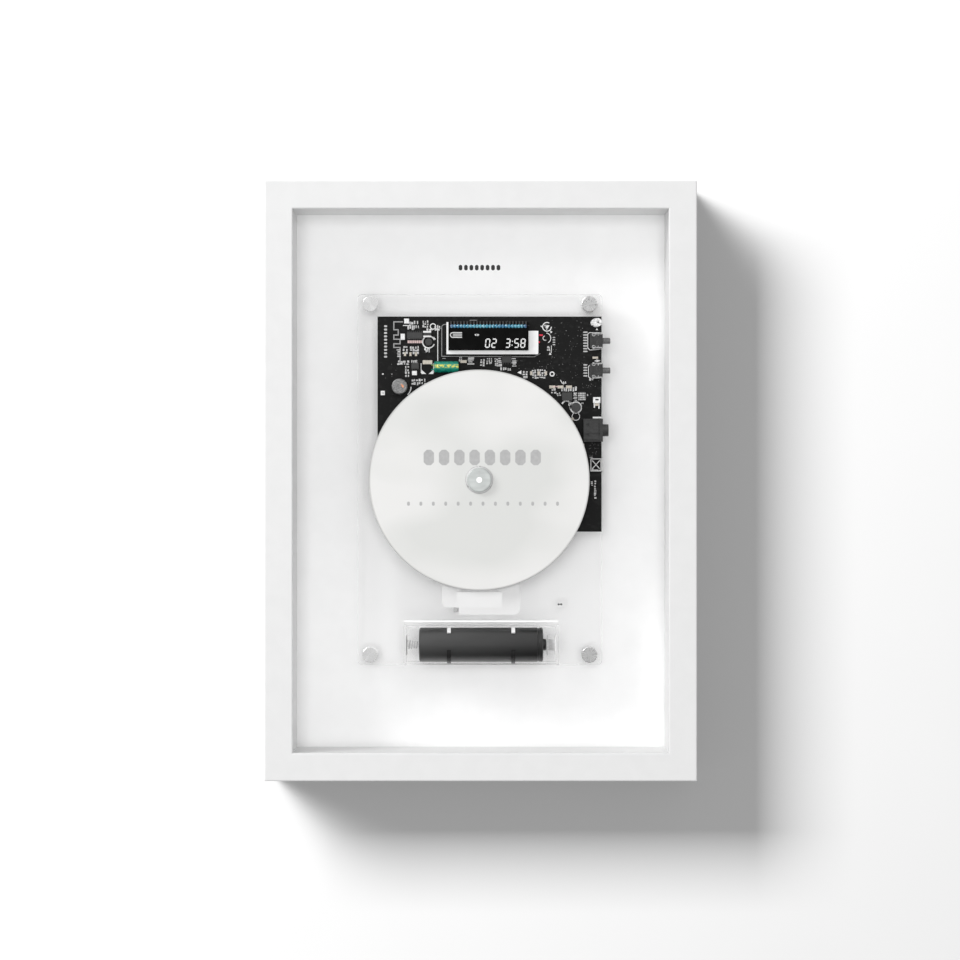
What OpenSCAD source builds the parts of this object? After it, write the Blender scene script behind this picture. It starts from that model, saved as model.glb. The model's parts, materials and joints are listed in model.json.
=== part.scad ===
// Disc player in a shadow-box frame, hung on a wall.
// Every piece is drawn as seen from the front: x to the right, y up from the middle of the frame,
// and z out of the wall. on_wall() then stands the drawing up, with its origin between the hangers.

/* [Frame] */
// Outside width of the frame
frame_w = 234; // [210:1:300]
// Outside height of the frame
frame_h = 325; // [290:1:400]
// Depth of the frame from the wall
frame_d = 45; // [45:1:60]
// Width of a rail's face
rail_w = 15.2; // [13:0.1:20]
// Rounding of a rail's front edges
rail_edge_r = 0.8; // [0.3:0.1:2]
// Width of the rabbet that takes the back board
rabbet_w = 7.5; // [6.5:0.5:9]
// Length of a corner nail's leg
v_nail_leg = 4.6; // [3:0.2:4.6]
// Depth of a corner nail in the rail
v_nail_depth = 8; // [5:0.5:12]

/* [Back board] */
// Thickness of the back board
board_t = 9; // [8.5:0.5:12]
// Gap round the board in its rabbet
board_gap = 0.3; // [0.1:0.1:0.8]
// Radius of a board screw's shank
board_screw_r = 1.5; // [1:0.1:2]
// Length of a board screw
board_screw_l = 16; // [13:0.5:20]
// Spacing of the board screws along the tall sides
side_screw_step = 120; // [60:5:140]
// Spacing of the board screws along the short sides
end_screw_step = 120; // [60:5:180]

/* [Hangers] */
// Distance between the two keyholes
hanger_span = 140; // [80:5:160]
// Height of the keyholes above the upper standoffs
hanger_over_post = 21.2; // [19:0.1:30]
// Radius of a keyhole's entry
keyhole_r = 4.5; // [4:0.1:5]
// Radius of a keyhole's slot
keyslot_r = 2.3; // [2:0.1:2.6]
// Travel from the entry to the end of the slot
keyslot_l = 7; // [5:0.5:8]
// Width of a hanger plate
hanger_w = 38; // [36:1:48]
// Height of a hanger plate
hanger_h = 19; // [19:0.5:24]
// Thickness of a hanger plate
hanger_t = 1.2; // [1:0.1:2]
// Depth of the pocket for the wall screw's head
pocket_d = 7; // [5:0.5:7.5]

/* [Clear plate and standoffs] */
// Width of the clear plate
plate_w = 134; // [130:1:150]
// Height of the clear plate
plate_h = 203; // [200:1:220]
// Thickness of the clear plate
plate_t = 3; // [2.5:0.5:5]
// Rounding of the plate's corners
plate_corner_r = 2; // [0.5:0.5:4]
// Middle of the plate, right of the frame's middle
plate_x = -0.5; // [-3:0.1:3]
// Middle of the plate, above the frame's middle
plate_y = 0.8; // [-3:0.1:3]
// Length of a standoff post between the board and the plate
post_l = 12; // [11:0.5:16]
// Radius of a standoff post
post_r = 4; // [3.6:0.1:4.4]
// Radius of a standoff's cap
cap_r = 4.4; // [4:0.1:5]
// Thickness of a standoff's cap
cap_h = 4; // [2.5:0.5:6]
// Radius of a standoff's stud
stud_r = 2; // [1.5:0.1:2.4]
// From the plate's side to a standoff's axis
post_inset_x = 7; // [6:0.5:10]
// From the plate's top to a standoff's axis
post_inset_y = 5.5; // [5.5:0.5:8]

/* [Circuit board] */
// Width of the circuit board
pcb_w = 122.4; // [122:0.2:126]
// Height of the circuit board
pcb_h = 117.6; // [112:0.2:122]
// Thickness of the circuit board
pcb_t = 1.6; // [1.2:0.1:2]
// Height of the spacers between the plate and the circuit board
spacer_h = 4; // [3.6:0.2:6]
// Radius of a spacer
spacer_r = 2.5; // [2.2:0.1:3]
// From the plate's right side to the circuit board's
pcb_side = 0.5; // [0:0.1:2]
// From the plate's top to the circuit board's
pcb_drop = 12.5; // [12:0.1:14]
// Height of the board's full-width part
pcb_bar_h = 66.8; // [65:0.2:68]
// Width of the board's leg beside the mechanism
pcb_leg_w = 32; // [30:0.5:32]

/* [Display] */
// Width of the display's white backlight
lcd_w = 50.1; // [48:0.1:53]
// Height of the backlight
lcd_h = 17.5; // [17:0.1:19]
// Thickness of the backlight
lcd_t = 3.4; // [2.5:0.1:4]
// Width of the display's glass
glass_w = 43.6; // [40:0.1:46]
// Height of the glass
glass_h = 15.5; // [14:0.1:16]
// Thickness of the glass
glass_t = 1.8; // [1.2:0.1:2.4]
// Number of pins along the glass
pin_count = 24; // [12:1:28]

/* [Buttons and sockets] */
// Width of a switch body along the board's edge
switch_w = 7.5; // [6:0.5:9]
// Length of a switch body from the edge inward
switch_l = 6.9; // [6:0.1:9]
// Height of a switch body off the board
switch_h = 4.2; // [4:0.1:5]
// Radius of a button
button_r = 1.65; // [1.2:0.05:1.7]
// How far a button stands out of its switch
button_out = 4.15; // [3:0.05:6]
// Travel of a button
button_travel = 0.4; // [0.2:0.05:0.6]
// Width of the headphone socket along the board's edge
jack_w = 12.5; // [10:0.5:14]
// Length of the socket from the edge inward
jack_l = 10.5; // [9.5:0.5:12]
// Height of the socket off the board
jack_h = 6; // [5:0.5:7]
// Radius of the socket's nose
jack_nose_r = 3.3; // [2.8:0.1:3.6]
// How far the nose stands out
jack_nose_l = 3.1; // [1.5:0.1:4]
// Radius of the hole for the headphone plug
jack_bore_r = 1.8; // [1.75:0.01:1.9]
// Depth of the hole for the headphone plug
jack_bore_l = 12.4; // [10:0.1:12.5]

/* [Disc and spindle] */
// Radius of the disc
disc_r = 60; // [40:1:60]
// Radius of the disc's hole
disc_hole_r = 7.5; // [7.5:0.05:7.6]
// Thickness of the disc
disc_t = 1.2; // [1.1:0.1:1.4]
// Height of the disc over the mechanism's deck
disc_over_deck = 4; // [3.8:0.1:6]
// Clearance of the spindle's nose in the disc
hub_gap = 0.1; // [0.08:0.01:0.2]
// Height of the spindle's nose over the disc's back
hub_h = 3.4; // [3.2:0.1:4.5]
// Radius of the turntable's flange
turntable_r = 14.5; // [12:0.5:16]
// Radius of the spindle's shaft
shaft_r = 1; // [0.8:0.1:1.2]

/* [Mechanism] */
// Spindle axis, right of the plate's middle
mech_dx = -0.3; // [-1:0.1:1]
// Spindle axis, above the plate's middle
mech_dy = -0.3; // [-1:0.1:1]
// Height of the deck over the clear plate
deck_over_plate = 9; // [9:0.1:12]
// Thickness of the deck
deck_t = 2; // [1.5:0.1:2.4]
// Depth of the deck's side walls
deck_wall_h = 7; // [7:0.1:7.2]
// Left side of the deck from the spindle axis
deck_left = 20.3; // [20.3:0.1:21]
// Right side of the deck from the spindle axis
deck_right = 22.2; // [20:0.1:23]
// Top of the deck from the spindle axis
deck_up = 19.5; // [17:0.5:20]
// Thickness of the deck's walls
deck_wall = 2; // [1.6:0.1:2]
// Radius of a motor
motor_r = 12.2; // [10:0.1:12.4]
// Length of a motor
motor_l = 12.3; // [8:0.1:13]
// Distance between the two guide rods
rod_span = 25.2; // [24.6:0.1:25.4]
// Radius of a guide rod
rod_r = 1.5; // [1:0.1:1.6]
// Lens position nearest the spindle
lens_inner = 23; // [23:0.1:24]
// Travel of the lens across the disc
lens_travel = 34; // [30:0.1:34]
// Focus travel of the lens, each way
focus_travel = 0.6; // [0.3:0.05:0.7]

/* [Gears] */
// Tooth module
gear_module = 0.5; // [0.4:0.1:0.5]
// Teeth of the motor's pinion
pinion_teeth = 12; // [12:1:14]
// Teeth of the large gear
wheel_teeth = 28; // [24:2:28]
// Teeth of the small gear on the large gear
rack_pinion_teeth = 12; // [12:1:12]
// Play between teeth at the pitch line
tooth_play = 0.12; // [0.08:0.01:0.2]
// Pressure angle
pressure_angle = 20; // [18:1:25]
// Direction of the motor from the large gear
train_angle = 150; // [140:1:160]

/* [Battery] */
// Radius of the battery cell
cell_r = 9.25; // [9:0.05:9.3]
// Length of the cell without its button
cell_l = 67.4; // [64:0.1:68]
// Middle of the cell, right of the plate's middle
cell_dx = 0.7; // [-2:0.1:2]
// Axis of the cell above the plate's bottom
cell_up = 11.5; // [11.3:0.1:13]
// Space beyond each end of the cell for its contact
contact_room = 7; // [6:0.1:8]
// Wall of the clear holder
holder_wall = 1.5; // [1:0.1:2]
// Clearance of the cell in the holder
cell_gap = 0.2; // [0.2:0.05:0.4]
// Spacing of the two clips
clip_span = 34.9; // [20:0.1:44]

/* [Hidden] */
$fn = 64;

fit = 0.05;
cut = 1;

// Depths from the wall
plate_back = board_t + post_l;
plate_front = plate_back + plate_t;
pcb_back = plate_front + spacer_h;
pcb_front = pcb_back + pcb_t;
deck_front = plate_front + deck_over_plate;
deck_back = deck_front - deck_t;
deck_foot = deck_front - deck_wall_h;
disc_back = deck_front + disc_over_deck;
disc_front = disc_back + disc_t;

// Frame and board
opening_w = frame_w - 2 * rail_w;
opening_h = frame_h - 2 * rail_w;
board_w = opening_w + 2 * (rabbet_w - board_gap);
board_h = opening_h + 2 * (rabbet_w - board_gap);
board_screw_in = rabbet_w / 2;
hanger_up = plate_y + plate_h / 2 - post_inset_y + hanger_over_post;
v_nail_t = 0.7;
v_nail_at = 1.6;
screw_head_h = 1.6;

// Circuit board
pcb_right = plate_x + plate_w / 2 - pcb_side;
pcb_left = pcb_right - pcb_w;
pcb_top = plate_y + plate_h / 2 - pcb_drop;
pcb_hole_r = 1.4;
// Right of the board's left edge, or left of its right edge where negative, then down
pcb_screws = [[-3.1, 3.4], [8.4, 61.8], [-44.4, 61.8], [-28.4, 111]];

// Display, from the circuit board's top left corner
lcd_at = [37.7, 3.2];
glass_side = 1.1;
lcd_tab_drop = 4.8;
pin_inset = 0.9;
pin_w = 0.9;

// Switches and sockets, down from the circuit board's top
power_down = 13.4;
function_down = 29.6;
jack_down = 62.2;
port_down = 81;
edge_over = 0.5;
button_in = 3;
port_w = 8.94;
port_h = 3.2;
port_l = 7.4;

// Mechanism
spindle_x = plate_x + mech_dx;
spindle_y = plate_y + mech_dy;
rod_x = rod_span / 2;
rod_z = deck_foot + 2.2;
rod_top = 9;
rod_end_gap = 0.4;
rod_support_w = 4.8;
rod_support_l = 3;
window_half = 10.3;
sled_half = 9.5;
lens_outer = lens_inner + lens_travel;
deck_down = lens_outer + 16.5;
sled_up = 9.3;
sled_down = 10.2;
sled_back = deck_foot - 0.4;
sled_shoulder = deck_back - 0.4;
sled_front = deck_front + 0.2;
flange_half = rod_x + 2.8;
rack_t = 1.9;
rack_back = rod_z + 0.3;
rack_web = 1.1;
rack_up = lens_travel - 5.5;
rack_down = sled_down;
rack_pitch_x = -(flange_half + rack_web + 1.25 * gear_module);
small_pitch_r = gear_module * rack_pinion_teeth / 2;
wheel_pitch_r = gear_module * wheel_teeth / 2;
pinion_pitch_r = gear_module * pinion_teeth / 2;
gear_x = rack_pitch_x - small_pitch_r;
gear_y = -(lens_inner + 8);
train_l = wheel_pitch_r + pinion_pitch_r;
sled_motor_x = gear_x + train_l * cos(train_angle);
sled_motor_y = gear_y + train_l * sin(train_angle);
wing_t = 2;
wing_front = deck_foot + wing_t;
wheel_back = sled_shoulder + 0.3;
wheel_t = 1.8;
wheel_front = wheel_back + wheel_t;
boss_r = 3;
boss_h = 1;
shaft_in = 2.6;
boss_gap = 0.1;
motor_screw_at = 8;
motor_screw_r = 0.9;
motor_screw_head_r = 1.7;
motor_screw_head_h = 0.7;
motor_screw_in = 1.8;
// The sled motor's screws stand clear of the gears' teeth
sled_motor_turn = 90;
lug_r = 5.2;
lug_out = 4.6;
lug_t = 2;
lug_back = plate_front + 3;
lug_ys = [9.5, -46];
grommet_r = 4.3;
grommet_neck_r = 2.9;
grommet_lip = 1.6;
grommet_bevel = 0.4;
grommet_gap = 0.1;
grommet_h = lug_back - plate_front + lug_t + grommet_lip;
screw_m3_r = 1.5;
pocket_half = 7.5;
holder_half = 7.1;
lens_pocket_floor = sled_back + 3.4;

// Battery
cell_x = plate_x + cell_dx;
cell_y = plate_y - plate_h / 2 + cell_up;
holder_floor = 1.2;
holder_screw_head_r = 2;
holder_screw_head_h = 0.8;
holder_screw_short = 0.3;
clip_t = 0.8;
clip_w = 2;
cell_z = plate_front + holder_floor + cell_gap + cell_r;
cell_button_r = 3.15;
cell_button_l = 1.7;
trough_half = cell_r + cell_gap;
ledge_w = 2.4;
spring_wire_r = 0.3;
spring_turns = 4;
grommet_dx = 43.2;
grommet_dy = 33;

// ---------- helpers ----------

module on_wall() translate([0, 0, -hanger_up]) rotate([90, 0, 0]) children();

module at_spindle() translate([spindle_x, spindle_y, 0]) children();

// A negative dx counts from the circuit board's right edge
function board_x(dx) = dx < 0 ? pcb_right + dx : pcb_left + dx;

module on_pcb(dx, dy) translate([board_x(dx), pcb_top - dy, pcb_front]) children();

function arc(x, y, r, from, to, steps) =
    [for (i = [0:steps]) let (a = from + (to - from) * i / steps) [x + r * cos(a), y + r * sin(a)]];

module rounded(w, h, r, steps = 6) polygon(concat(
    arc(w / 2 - r, h / 2 - r, r, 0, 90, steps),
    arc(-w / 2 + r, h / 2 - r, r, 90, 180, steps),
    arc(-w / 2 + r, -h / 2 + r, r, 180, 270, steps),
    arc(w / 2 - r, -h / 2 + r, r, 270, 360, steps)));

module slab(w, h, t, r, steps = 6) linear_extrude(t) rounded(w, h, r, steps);

module bored(r, bore_r, h) difference() {
    cylinder(r = r, h = h);
    translate([0, 0, -cut]) cylinder(r = bore_r, h = h + 2 * cut);
}

// Screw with its head's top at z = 0 and its shank towards -z
module screw(head_r, head_h, r, l, sunk = false) difference() {
    union() {
        translate([0, 0, -head_h]) cylinder(r1 = sunk ? r : head_r, r2 = head_r, h = head_h);
        translate([0, 0, -l]) cylinder(r = r, h = l - head_h / 2);
    }
    for (a = [0, 90]) rotate([0, 0, a])
        translate([-head_r * 0.55, -head_r * 0.11, -head_h * 0.5])
            cube([head_r * 1.1, head_r * 0.22, head_h]);
}

// Room for a countersunk screw of the same sizes
module sunk_hole(head_r, head_h, r, l) {
    translate([0, 0, -head_h]) cylinder(r1 = r + fit, r2 = head_r + fit, h = head_h);
    translate([0, 0, -l]) cylinder(r = r + fit, h = l);
    cylinder(r = head_r + fit, h = cut);
}

module from_back() mirror([0, 0, 1]) children();

// ---------- gears ----------

function involute_deg(base_r, r) = r <= base_r ? 0 :
    let (a = acos(base_r / r)) tan(a) * 180 / PI - a;

function gear_points(teeth, m, play) =
    let (
        pitch_r = m * teeth / 2,
        base_r = pitch_r * cos(pressure_angle),
        root_r = pitch_r - 1.25 * m,
        tip_r = pitch_r + 0.92 * m,
        half = 90 / teeth - play / pitch_r * 90 / PI,
        at_pitch = involute_deg(base_r, pitch_r),
        start_r = max(root_r, base_r),
        steps = 4
    ) [
        for (t = [0:teeth - 1]) let (mid = 360 * t / teeth)
            each concat(
                [let (a = mid - half - at_pitch) [root_r * cos(a), root_r * sin(a)]],
                [for (i = [0:steps]) let (
                    r = start_r + (tip_r - start_r) * i / steps,
                    a = mid - half - at_pitch + involute_deg(base_r, r)
                ) [r * cos(a), r * sin(a)]],
                [for (i = [steps:-1:0]) let (
                    r = start_r + (tip_r - start_r) * i / steps,
                    a = mid + half + at_pitch - involute_deg(base_r, r)
                ) [r * cos(a), r * sin(a)]],
                [let (a = mid + half + at_pitch) [root_r * cos(a), root_r * sin(a)]]
            )
    ];

module gear(teeth, t, bore_r) difference() {
    linear_extrude(t) polygon(gear_points(teeth, gear_module, tooth_play));
    translate([0, 0, -cut]) cylinder(r = bore_r, h = t + 2 * cut);
}

// Rack teeth that point to -x, with a gap centred on y = gap_y
module rack_profile(from_y, to_y, gap_y) {
    pitch = PI * gear_module;
    add = 0.92 * gear_module;
    ded = 1.25 * gear_module;
    lean = tan(pressure_angle);
    half = pitch / 4 - tooth_play / 2;
    first = ceil((from_y - gap_y) / pitch);
    last = floor((to_y - gap_y) / pitch) - 1;
    root_x = rack_pitch_x + ded;
    tip_x = rack_pitch_x - add;
    polygon(concat(
        [[-flange_half, to_y], [-flange_half, from_y], [root_x, from_y]],
        [for (i = [first:last]) let (y = gap_y + (i + 0.5) * pitch) each [
            [root_x, y - half - ded * lean],
            [tip_x, y - half + add * lean],
            [tip_x, y + half - add * lean],
            [root_x, y + half + ded * lean]
        ]],
        [[root_x, to_y]]));
}

// ---------- frame ----------

// Section of a rail: outer face on x = 0, rabbet at the back
module rail_section() polygon(concat(
    [[0, 0], [-(rail_w - rabbet_w), 0], [-(rail_w - rabbet_w), board_t], [-rail_w, board_t]],
    arc(-rail_w + rail_edge_r, frame_d - rail_edge_r, rail_edge_r, 180, 90, 5),
    arc(-rail_edge_r, frame_d - rail_edge_r, rail_edge_r, 90, 0, 5)));

// Rail along x with its outer face on y = 0, mitred at both ends
module rail(l) intersection() {
    translate([-l / 2, 0, 0]) rotate([90, 0, 90]) linear_extrude(l) rail_section();
    translate([0, 0, -cut]) linear_extrude(frame_d + 2 * cut)
        polygon([[-l / 2, 0], [l / 2, 0], [l / 2 - rail_w, -rail_w], [-l / 2 + rail_w, -rail_w]]);
}

module v_nail() linear_extrude(v_nail_depth) polygon([
    [-v_nail_at, -v_nail_at], [-v_nail_at - v_nail_leg, -v_nail_at],
    [-v_nail_at - v_nail_leg, -v_nail_at - v_nail_t], [-v_nail_at - v_nail_t, -v_nail_at - v_nail_t],
    [-v_nail_at - v_nail_t, -v_nail_at - v_nail_leg], [-v_nail_at, -v_nail_at - v_nail_leg]]);

module all_v_nails() for (sx = [0, 1], sy = [0, 1])
    mirror([sx, 0, 0]) mirror([0, sy, 0])
        translate([frame_w / 2, frame_h / 2, 0]) v_nail();

module at_board_screws() {
    for (sx = [-1, 1], i = [-1:1])
        translate([sx * (opening_w / 2 + board_screw_in), i * side_screw_step, 0]) children();
    for (sy = [-1, 1], i = [-1, 1])
        translate([i * end_screw_step / 2, sy * (opening_h / 2 + board_screw_in), 0]) children();
}

module pilot_holes() at_board_screws() cylinder(r = board_screw_r + fit, h = board_screw_l + 0.5);

module frame_rail_top() color("whitesmoke") on_wall() difference() {
    translate([0, frame_h / 2, 0]) rail(frame_w);
    all_v_nails();
    pilot_holes();
}

module frame_rail_bottom() color("whitesmoke") on_wall() difference() {
    translate([0, -frame_h / 2, 0]) rotate([0, 0, 180]) rail(frame_w);
    all_v_nails();
    pilot_holes();
}

module frame_rail_left() color("whitesmoke") on_wall() difference() {
    translate([-frame_w / 2, 0, 0]) rotate([0, 0, 90]) rail(frame_h);
    all_v_nails();
    pilot_holes();
}

module frame_rail_right() color("whitesmoke") on_wall() difference() {
    translate([frame_w / 2, 0, 0]) rotate([0, 0, -90]) rail(frame_h);
    all_v_nails();
    pilot_holes();
}

module corner_v_nails() color("silver") on_wall() all_v_nails();

// ---------- back board and hangers ----------

board_screw_head_r = 2.8;
wood_screw_r = 1.2;
wood_screw_l = 7;
wood_screw_head_r = 2.3;
wood_screw_head_h = 1.1;
hanger_screw_x = 14;
// The plate reaches further above the entry than below it, because the slot runs up
hanger_mid_up = keyslot_l / 2;

module at_hangers() for (sx = [-1, 1])
    translate([sx * hanger_span / 2, hanger_up, 0]) children();

module hanger_outline() translate([0, hanger_mid_up]) rounded(hanger_w, hanger_h, hanger_h / 4);

module at_hanger_screws() at_hangers() for (sx = [-1, 1])
    translate([sx * hanger_screw_x, hanger_mid_up, 0]) children();

module at_standoffs() for (sx = [-1, 1], sy = [-1, 1])
    translate([
        plate_x + sx * (plate_w / 2 - post_inset_x),
        plate_y + sy * (plate_h / 2 - post_inset_y), 0]) children();

module back_board() color("white") on_wall() difference() {
    translate([0, 0, board_t / 2]) cube([board_w, board_h, board_t], center = true);
    at_board_screws() from_back()
        sunk_hole(board_screw_head_r, screw_head_h, board_screw_r, board_t + cut);
    at_standoffs() from_back() sunk_hole(stud_r * 2, stud_r * 1.2, stud_r, board_t + cut);
    at_hangers() {
        translate([0, 0, -cut]) linear_extrude(cut + hanger_t) hanger_outline();
        translate([0, keyslot_l / 2, pocket_d / 2])
            cube([2 * keyhole_r + 3, keyslot_l + 2 * keyhole_r, pocket_d], center = true);
    }
    at_hanger_screws() cylinder(r = wood_screw_r + fit, h = wood_screw_l);
}

module board_screws() color("silver") on_wall()
    at_board_screws() from_back()
        screw(board_screw_head_r, screw_head_h, board_screw_r, board_screw_l, true);

module keyhole_hangers() color("silver") on_wall() difference() {
    at_hangers() linear_extrude(hanger_t) hanger_outline();
    at_hangers() {
        translate([0, 0, -cut]) cylinder(r = keyhole_r, h = hanger_t + 2 * cut);
        translate([0, keyslot_l, -cut]) cylinder(r = keyslot_r, h = hanger_t + 2 * cut);
        translate([-keyslot_r, 0, -cut]) cube([2 * keyslot_r, keyslot_l, hanger_t + 2 * cut]);
    }
    at_hanger_screws() from_back()
        sunk_hole(wood_screw_head_r, wood_screw_head_h, wood_screw_r, wood_screw_l);
}

module hanger_screws() color("silver") on_wall()
    at_hanger_screws() from_back()
        screw(wood_screw_head_r, wood_screw_head_h, wood_screw_r, wood_screw_l, true);

// ---------- standoffs and clear plate ----------

stud_l = 5;

module standoff_posts() color("silver") on_wall()
    at_standoffs() translate([0, 0, board_t]) bored(post_r, stud_r + fit, post_l);

module standoff_screws() color("dimgray") on_wall()
    at_standoffs() from_back()
        screw(stud_r * 2, stud_r * 1.2, stud_r, board_t + stud_l, true);

module standoff_caps() color("silver") on_wall() at_standoffs() {
    translate([0, 0, plate_front]) rotate_extrude() polygon(concat(
        [[0, 0], [cap_r, 0]],
        arc(cap_r - 0.4, cap_h - 0.4, 0.4, 0, 90, 4),
        [[0, cap_h]]));
    translate([0, 0, plate_back - stud_l]) cylinder(r = stud_r, h = plate_t + stud_l);
}

module at_pcb_screws() for (p = pcb_screws)
    translate([board_x(p[0]), pcb_top - p[1], 0]) children();

module at_dampers() at_spindle() for (y = lug_ys) {
    translate([-deck_left - lug_out, y, 0]) children();
    translate([deck_right + lug_out, y, 0]) children();
}

module at_holder_screws() for (sx = [-1, 1])
    translate([cell_x + sx * clip_span * 0.8, cell_y, 0]) children();

module acrylic_plate() color("lightcyan", 0.35) on_wall() difference() {
    translate([plate_x, plate_y, plate_back]) slab(plate_w, plate_h, plate_t, plate_corner_r);
    translate([0, 0, plate_back - cut]) {
        at_standoffs() cylinder(r = stud_r + 0.3, h = plate_t + 2 * cut);
        at_pcb_screws() cylinder(r = pcb_hole_r - 0.2 + fit, h = plate_t + 2 * cut);
        at_dampers() cylinder(r = screw_m3_r + fit, h = plate_t + 2 * cut);
        at_holder_screws() cylinder(r = wood_screw_r + fit, h = plate_t + 2 * cut);
        at_spindle() cylinder(r = motor_r + 0.8, h = plate_t + 2 * cut);
        at_spindle() translate([sled_motor_x, sled_motor_y, 0])
            cylinder(r = motor_r + 0.8, h = plate_t + 2 * cut);
        translate([cell_x + grommet_dx, cell_y + grommet_dy - cell_up, 0])
            linear_extrude(plate_t + 2 * cut) rounded(3.4, 2.2, 1);
    }
}

// ---------- circuit board ----------

module circuit_board() color("#1b1c1e") on_wall() difference() {
    translate([pcb_left, pcb_top, pcb_back]) linear_extrude(pcb_t) polygon([
        [0, 0], [pcb_w, 0], [pcb_w, -pcb_h], [pcb_w - pcb_leg_w, -pcb_h],
        [pcb_w - pcb_leg_w, -pcb_bar_h], [0, -pcb_bar_h]]);
    at_pcb_screws() translate([0, 0, pcb_back - cut]) cylinder(r = pcb_hole_r, h = pcb_t + 2 * cut);
}

module board_spacers() color("goldenrod") on_wall()
    at_pcb_screws() translate([0, 0, plate_front]) bored(spacer_r, pcb_hole_r, spacer_h);

module circuit_board_screws() color("gainsboro") on_wall()
    at_pcb_screws() translate([0, 0, pcb_front + screw_head_h])
        screw(spacer_r, screw_head_h, pcb_hole_r - 0.2,
            screw_head_h + pcb_t + spacer_h + plate_t - 0.4);

// ---------- display ----------

module lcd_backlight() color("white") on_wall() on_pcb(lcd_at[0], lcd_at[1])
    linear_extrude(lcd_t) polygon([
        [0, 0], [glass_side + glass_w, 0], [glass_side + glass_w, -lcd_tab_drop],
        [lcd_w, -lcd_tab_drop], [lcd_w, -lcd_h + 0.4], [lcd_w - 0.4, -lcd_h], [0, -lcd_h]]);

module lcd_glass() color("#101214") on_wall() on_pcb(lcd_at[0] + glass_side, lcd_at[1])
    translate([0, 0, lcd_t]) {
        translate([0, -glass_h, 0]) cube([glass_w, glass_h, glass_t / 2]);
        translate([0, -glass_h, glass_t / 2]) cube([glass_w, glass_h - 3.6, glass_t / 2]);
    }

// Clip-on pins: each hooks over the rear glass's ledge and stands in the circuit board
module lcd_pins() color("#3f8fa8") on_wall() on_pcb(lcd_at[0] + glass_side, lcd_at[1]) {
    step = (glass_w - 2 * pin_inset - pin_w) / (pin_count - 1);
    ledge = lcd_t + glass_t / 2;
    for (i = [0:pin_count - 1]) translate([pin_inset + i * step, 0, 0]) {
        cube([pin_w, 0.4, ledge + 0.4]);
        translate([0, -2.6, ledge]) cube([pin_w, 2.6 + 0.2, 0.4]);
    }
}

// ---------- switches and sockets ----------

switch_z = switch_h / 2;

module switch_body(down) on_pcb(pcb_w + edge_over, down) difference() {
    union() {
        translate([-switch_l, -switch_w / 2, 0]) cube([switch_l, switch_w, switch_h]);
        for (sy = [-1, 1], x = [1.2, 4.2])
            translate([-x - 0.5, sy * (switch_w / 2 + 0.4) - 0.4, 0]) cube([0.9, 0.8, 0.5]);
    }
    translate([-button_in - button_travel - 0.3, 0, switch_z]) rotate([0, 90, 0])
        cylinder(r = button_r + fit, h = switch_l);
    translate([-switch_l + 0.8, -switch_w / 2 + 0.8, switch_h - 0.25])
        cube([switch_l - button_in - button_travel - 1.9, switch_w - 1.6, cut]);
}

module button(down) on_pcb(pcb_w + edge_over, down)
    translate([-button_in, 0, switch_z]) rotate([0, 90, 0]) {
        cylinder(r = button_r, h = button_in + button_out - 0.3);
        translate([0, 0, button_in + button_out - 0.3])
            cylinder(r1 = button_r, r2 = button_r - 0.3, h = 0.3);
    }

module power_switch_body() color("#2a2b2d") on_wall() switch_body(power_down);

module power_button() color("#3a3b3d") on_wall() button(power_down);

module function_switch_body() color("#2a2b2d") on_wall() switch_body(function_down);

module function_button() color("#3a3b3d") on_wall() button(function_down);

module headphone_jack() color("#242527") on_wall() on_pcb(pcb_w + edge_over, jack_down)
    difference() {
        union() {
            translate([-jack_l, -jack_w / 2, 0]) cube([jack_l, jack_w, jack_h]);
            translate([0, 0, jack_h / 2]) rotate([0, 90, 0])
                cylinder(r = jack_nose_r, h = jack_nose_l);
        }
        translate([jack_nose_l - jack_bore_l, 0, jack_h / 2]) rotate([0, 90, 0])
            cylinder(r = jack_bore_r, h = jack_bore_l + cut);
        for (sy = [-1, 1]) translate([-jack_l - cut, sy * (jack_w / 2 - 0.6) - 0.6, jack_h - 1.2])
            cube([jack_l - 1.5 + cut, 1.2, cut + 1.2]);
        translate([-2.4, -jack_w / 2 + 2.2, jack_h - 0.5]) cube([0.8, jack_w - 4.4, cut]);
    }

// Lies under the circuit board, with its mouth at the board's edge
module charging_port() color("silver") on_wall()
    translate([pcb_right + 0.6 - port_l, pcb_top - port_down, pcb_back - port_h / 2])
        rotate([90, 0, 90]) {
            difference() {
                slab(port_w, port_h, port_l, 1.3);
                translate([0, 0, 1]) slab(port_w - 0.6, port_h - 0.6, port_l, 1.1);
            }
            translate([0, 0, 1]) slab(port_w - 2.4, 0.7, port_l - 2, 0.3);
        }

// ---------- parts on the circuit board ----------

cap_len = 13.3;
lying_cap_r = 3.15;
lying_cap_at = [31, 27.7];
can_cap_at = [12.2, 38.4];

module lying_capacitor() color("teal") on_wall() on_pcb(lying_cap_at[0], lying_cap_at[1])
    translate([0, 0, lying_cap_r]) rotate([0, 90, 0]) {
        rotate_extrude() polygon([
            [0, 0], [lying_cap_r - 0.3, 0], [lying_cap_r, 0.3], [lying_cap_r, 1.2],
            [lying_cap_r - 0.25, 1.6], [lying_cap_r, 2], [lying_cap_r, cap_len - 0.3],
            [lying_cap_r - 0.3, cap_len], [0, cap_len]]);
        for (s = [-1, 1]) translate([lying_cap_r - 0.4, s * 1.25, -1.6]) {
            translate([-0.25, -0.25, 0]) cube([0.5, 0.5, 1.6]);
            translate([-0.25, -0.25, 0]) cube([0.65, 0.5, 0.5]);
        }
    }

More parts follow.
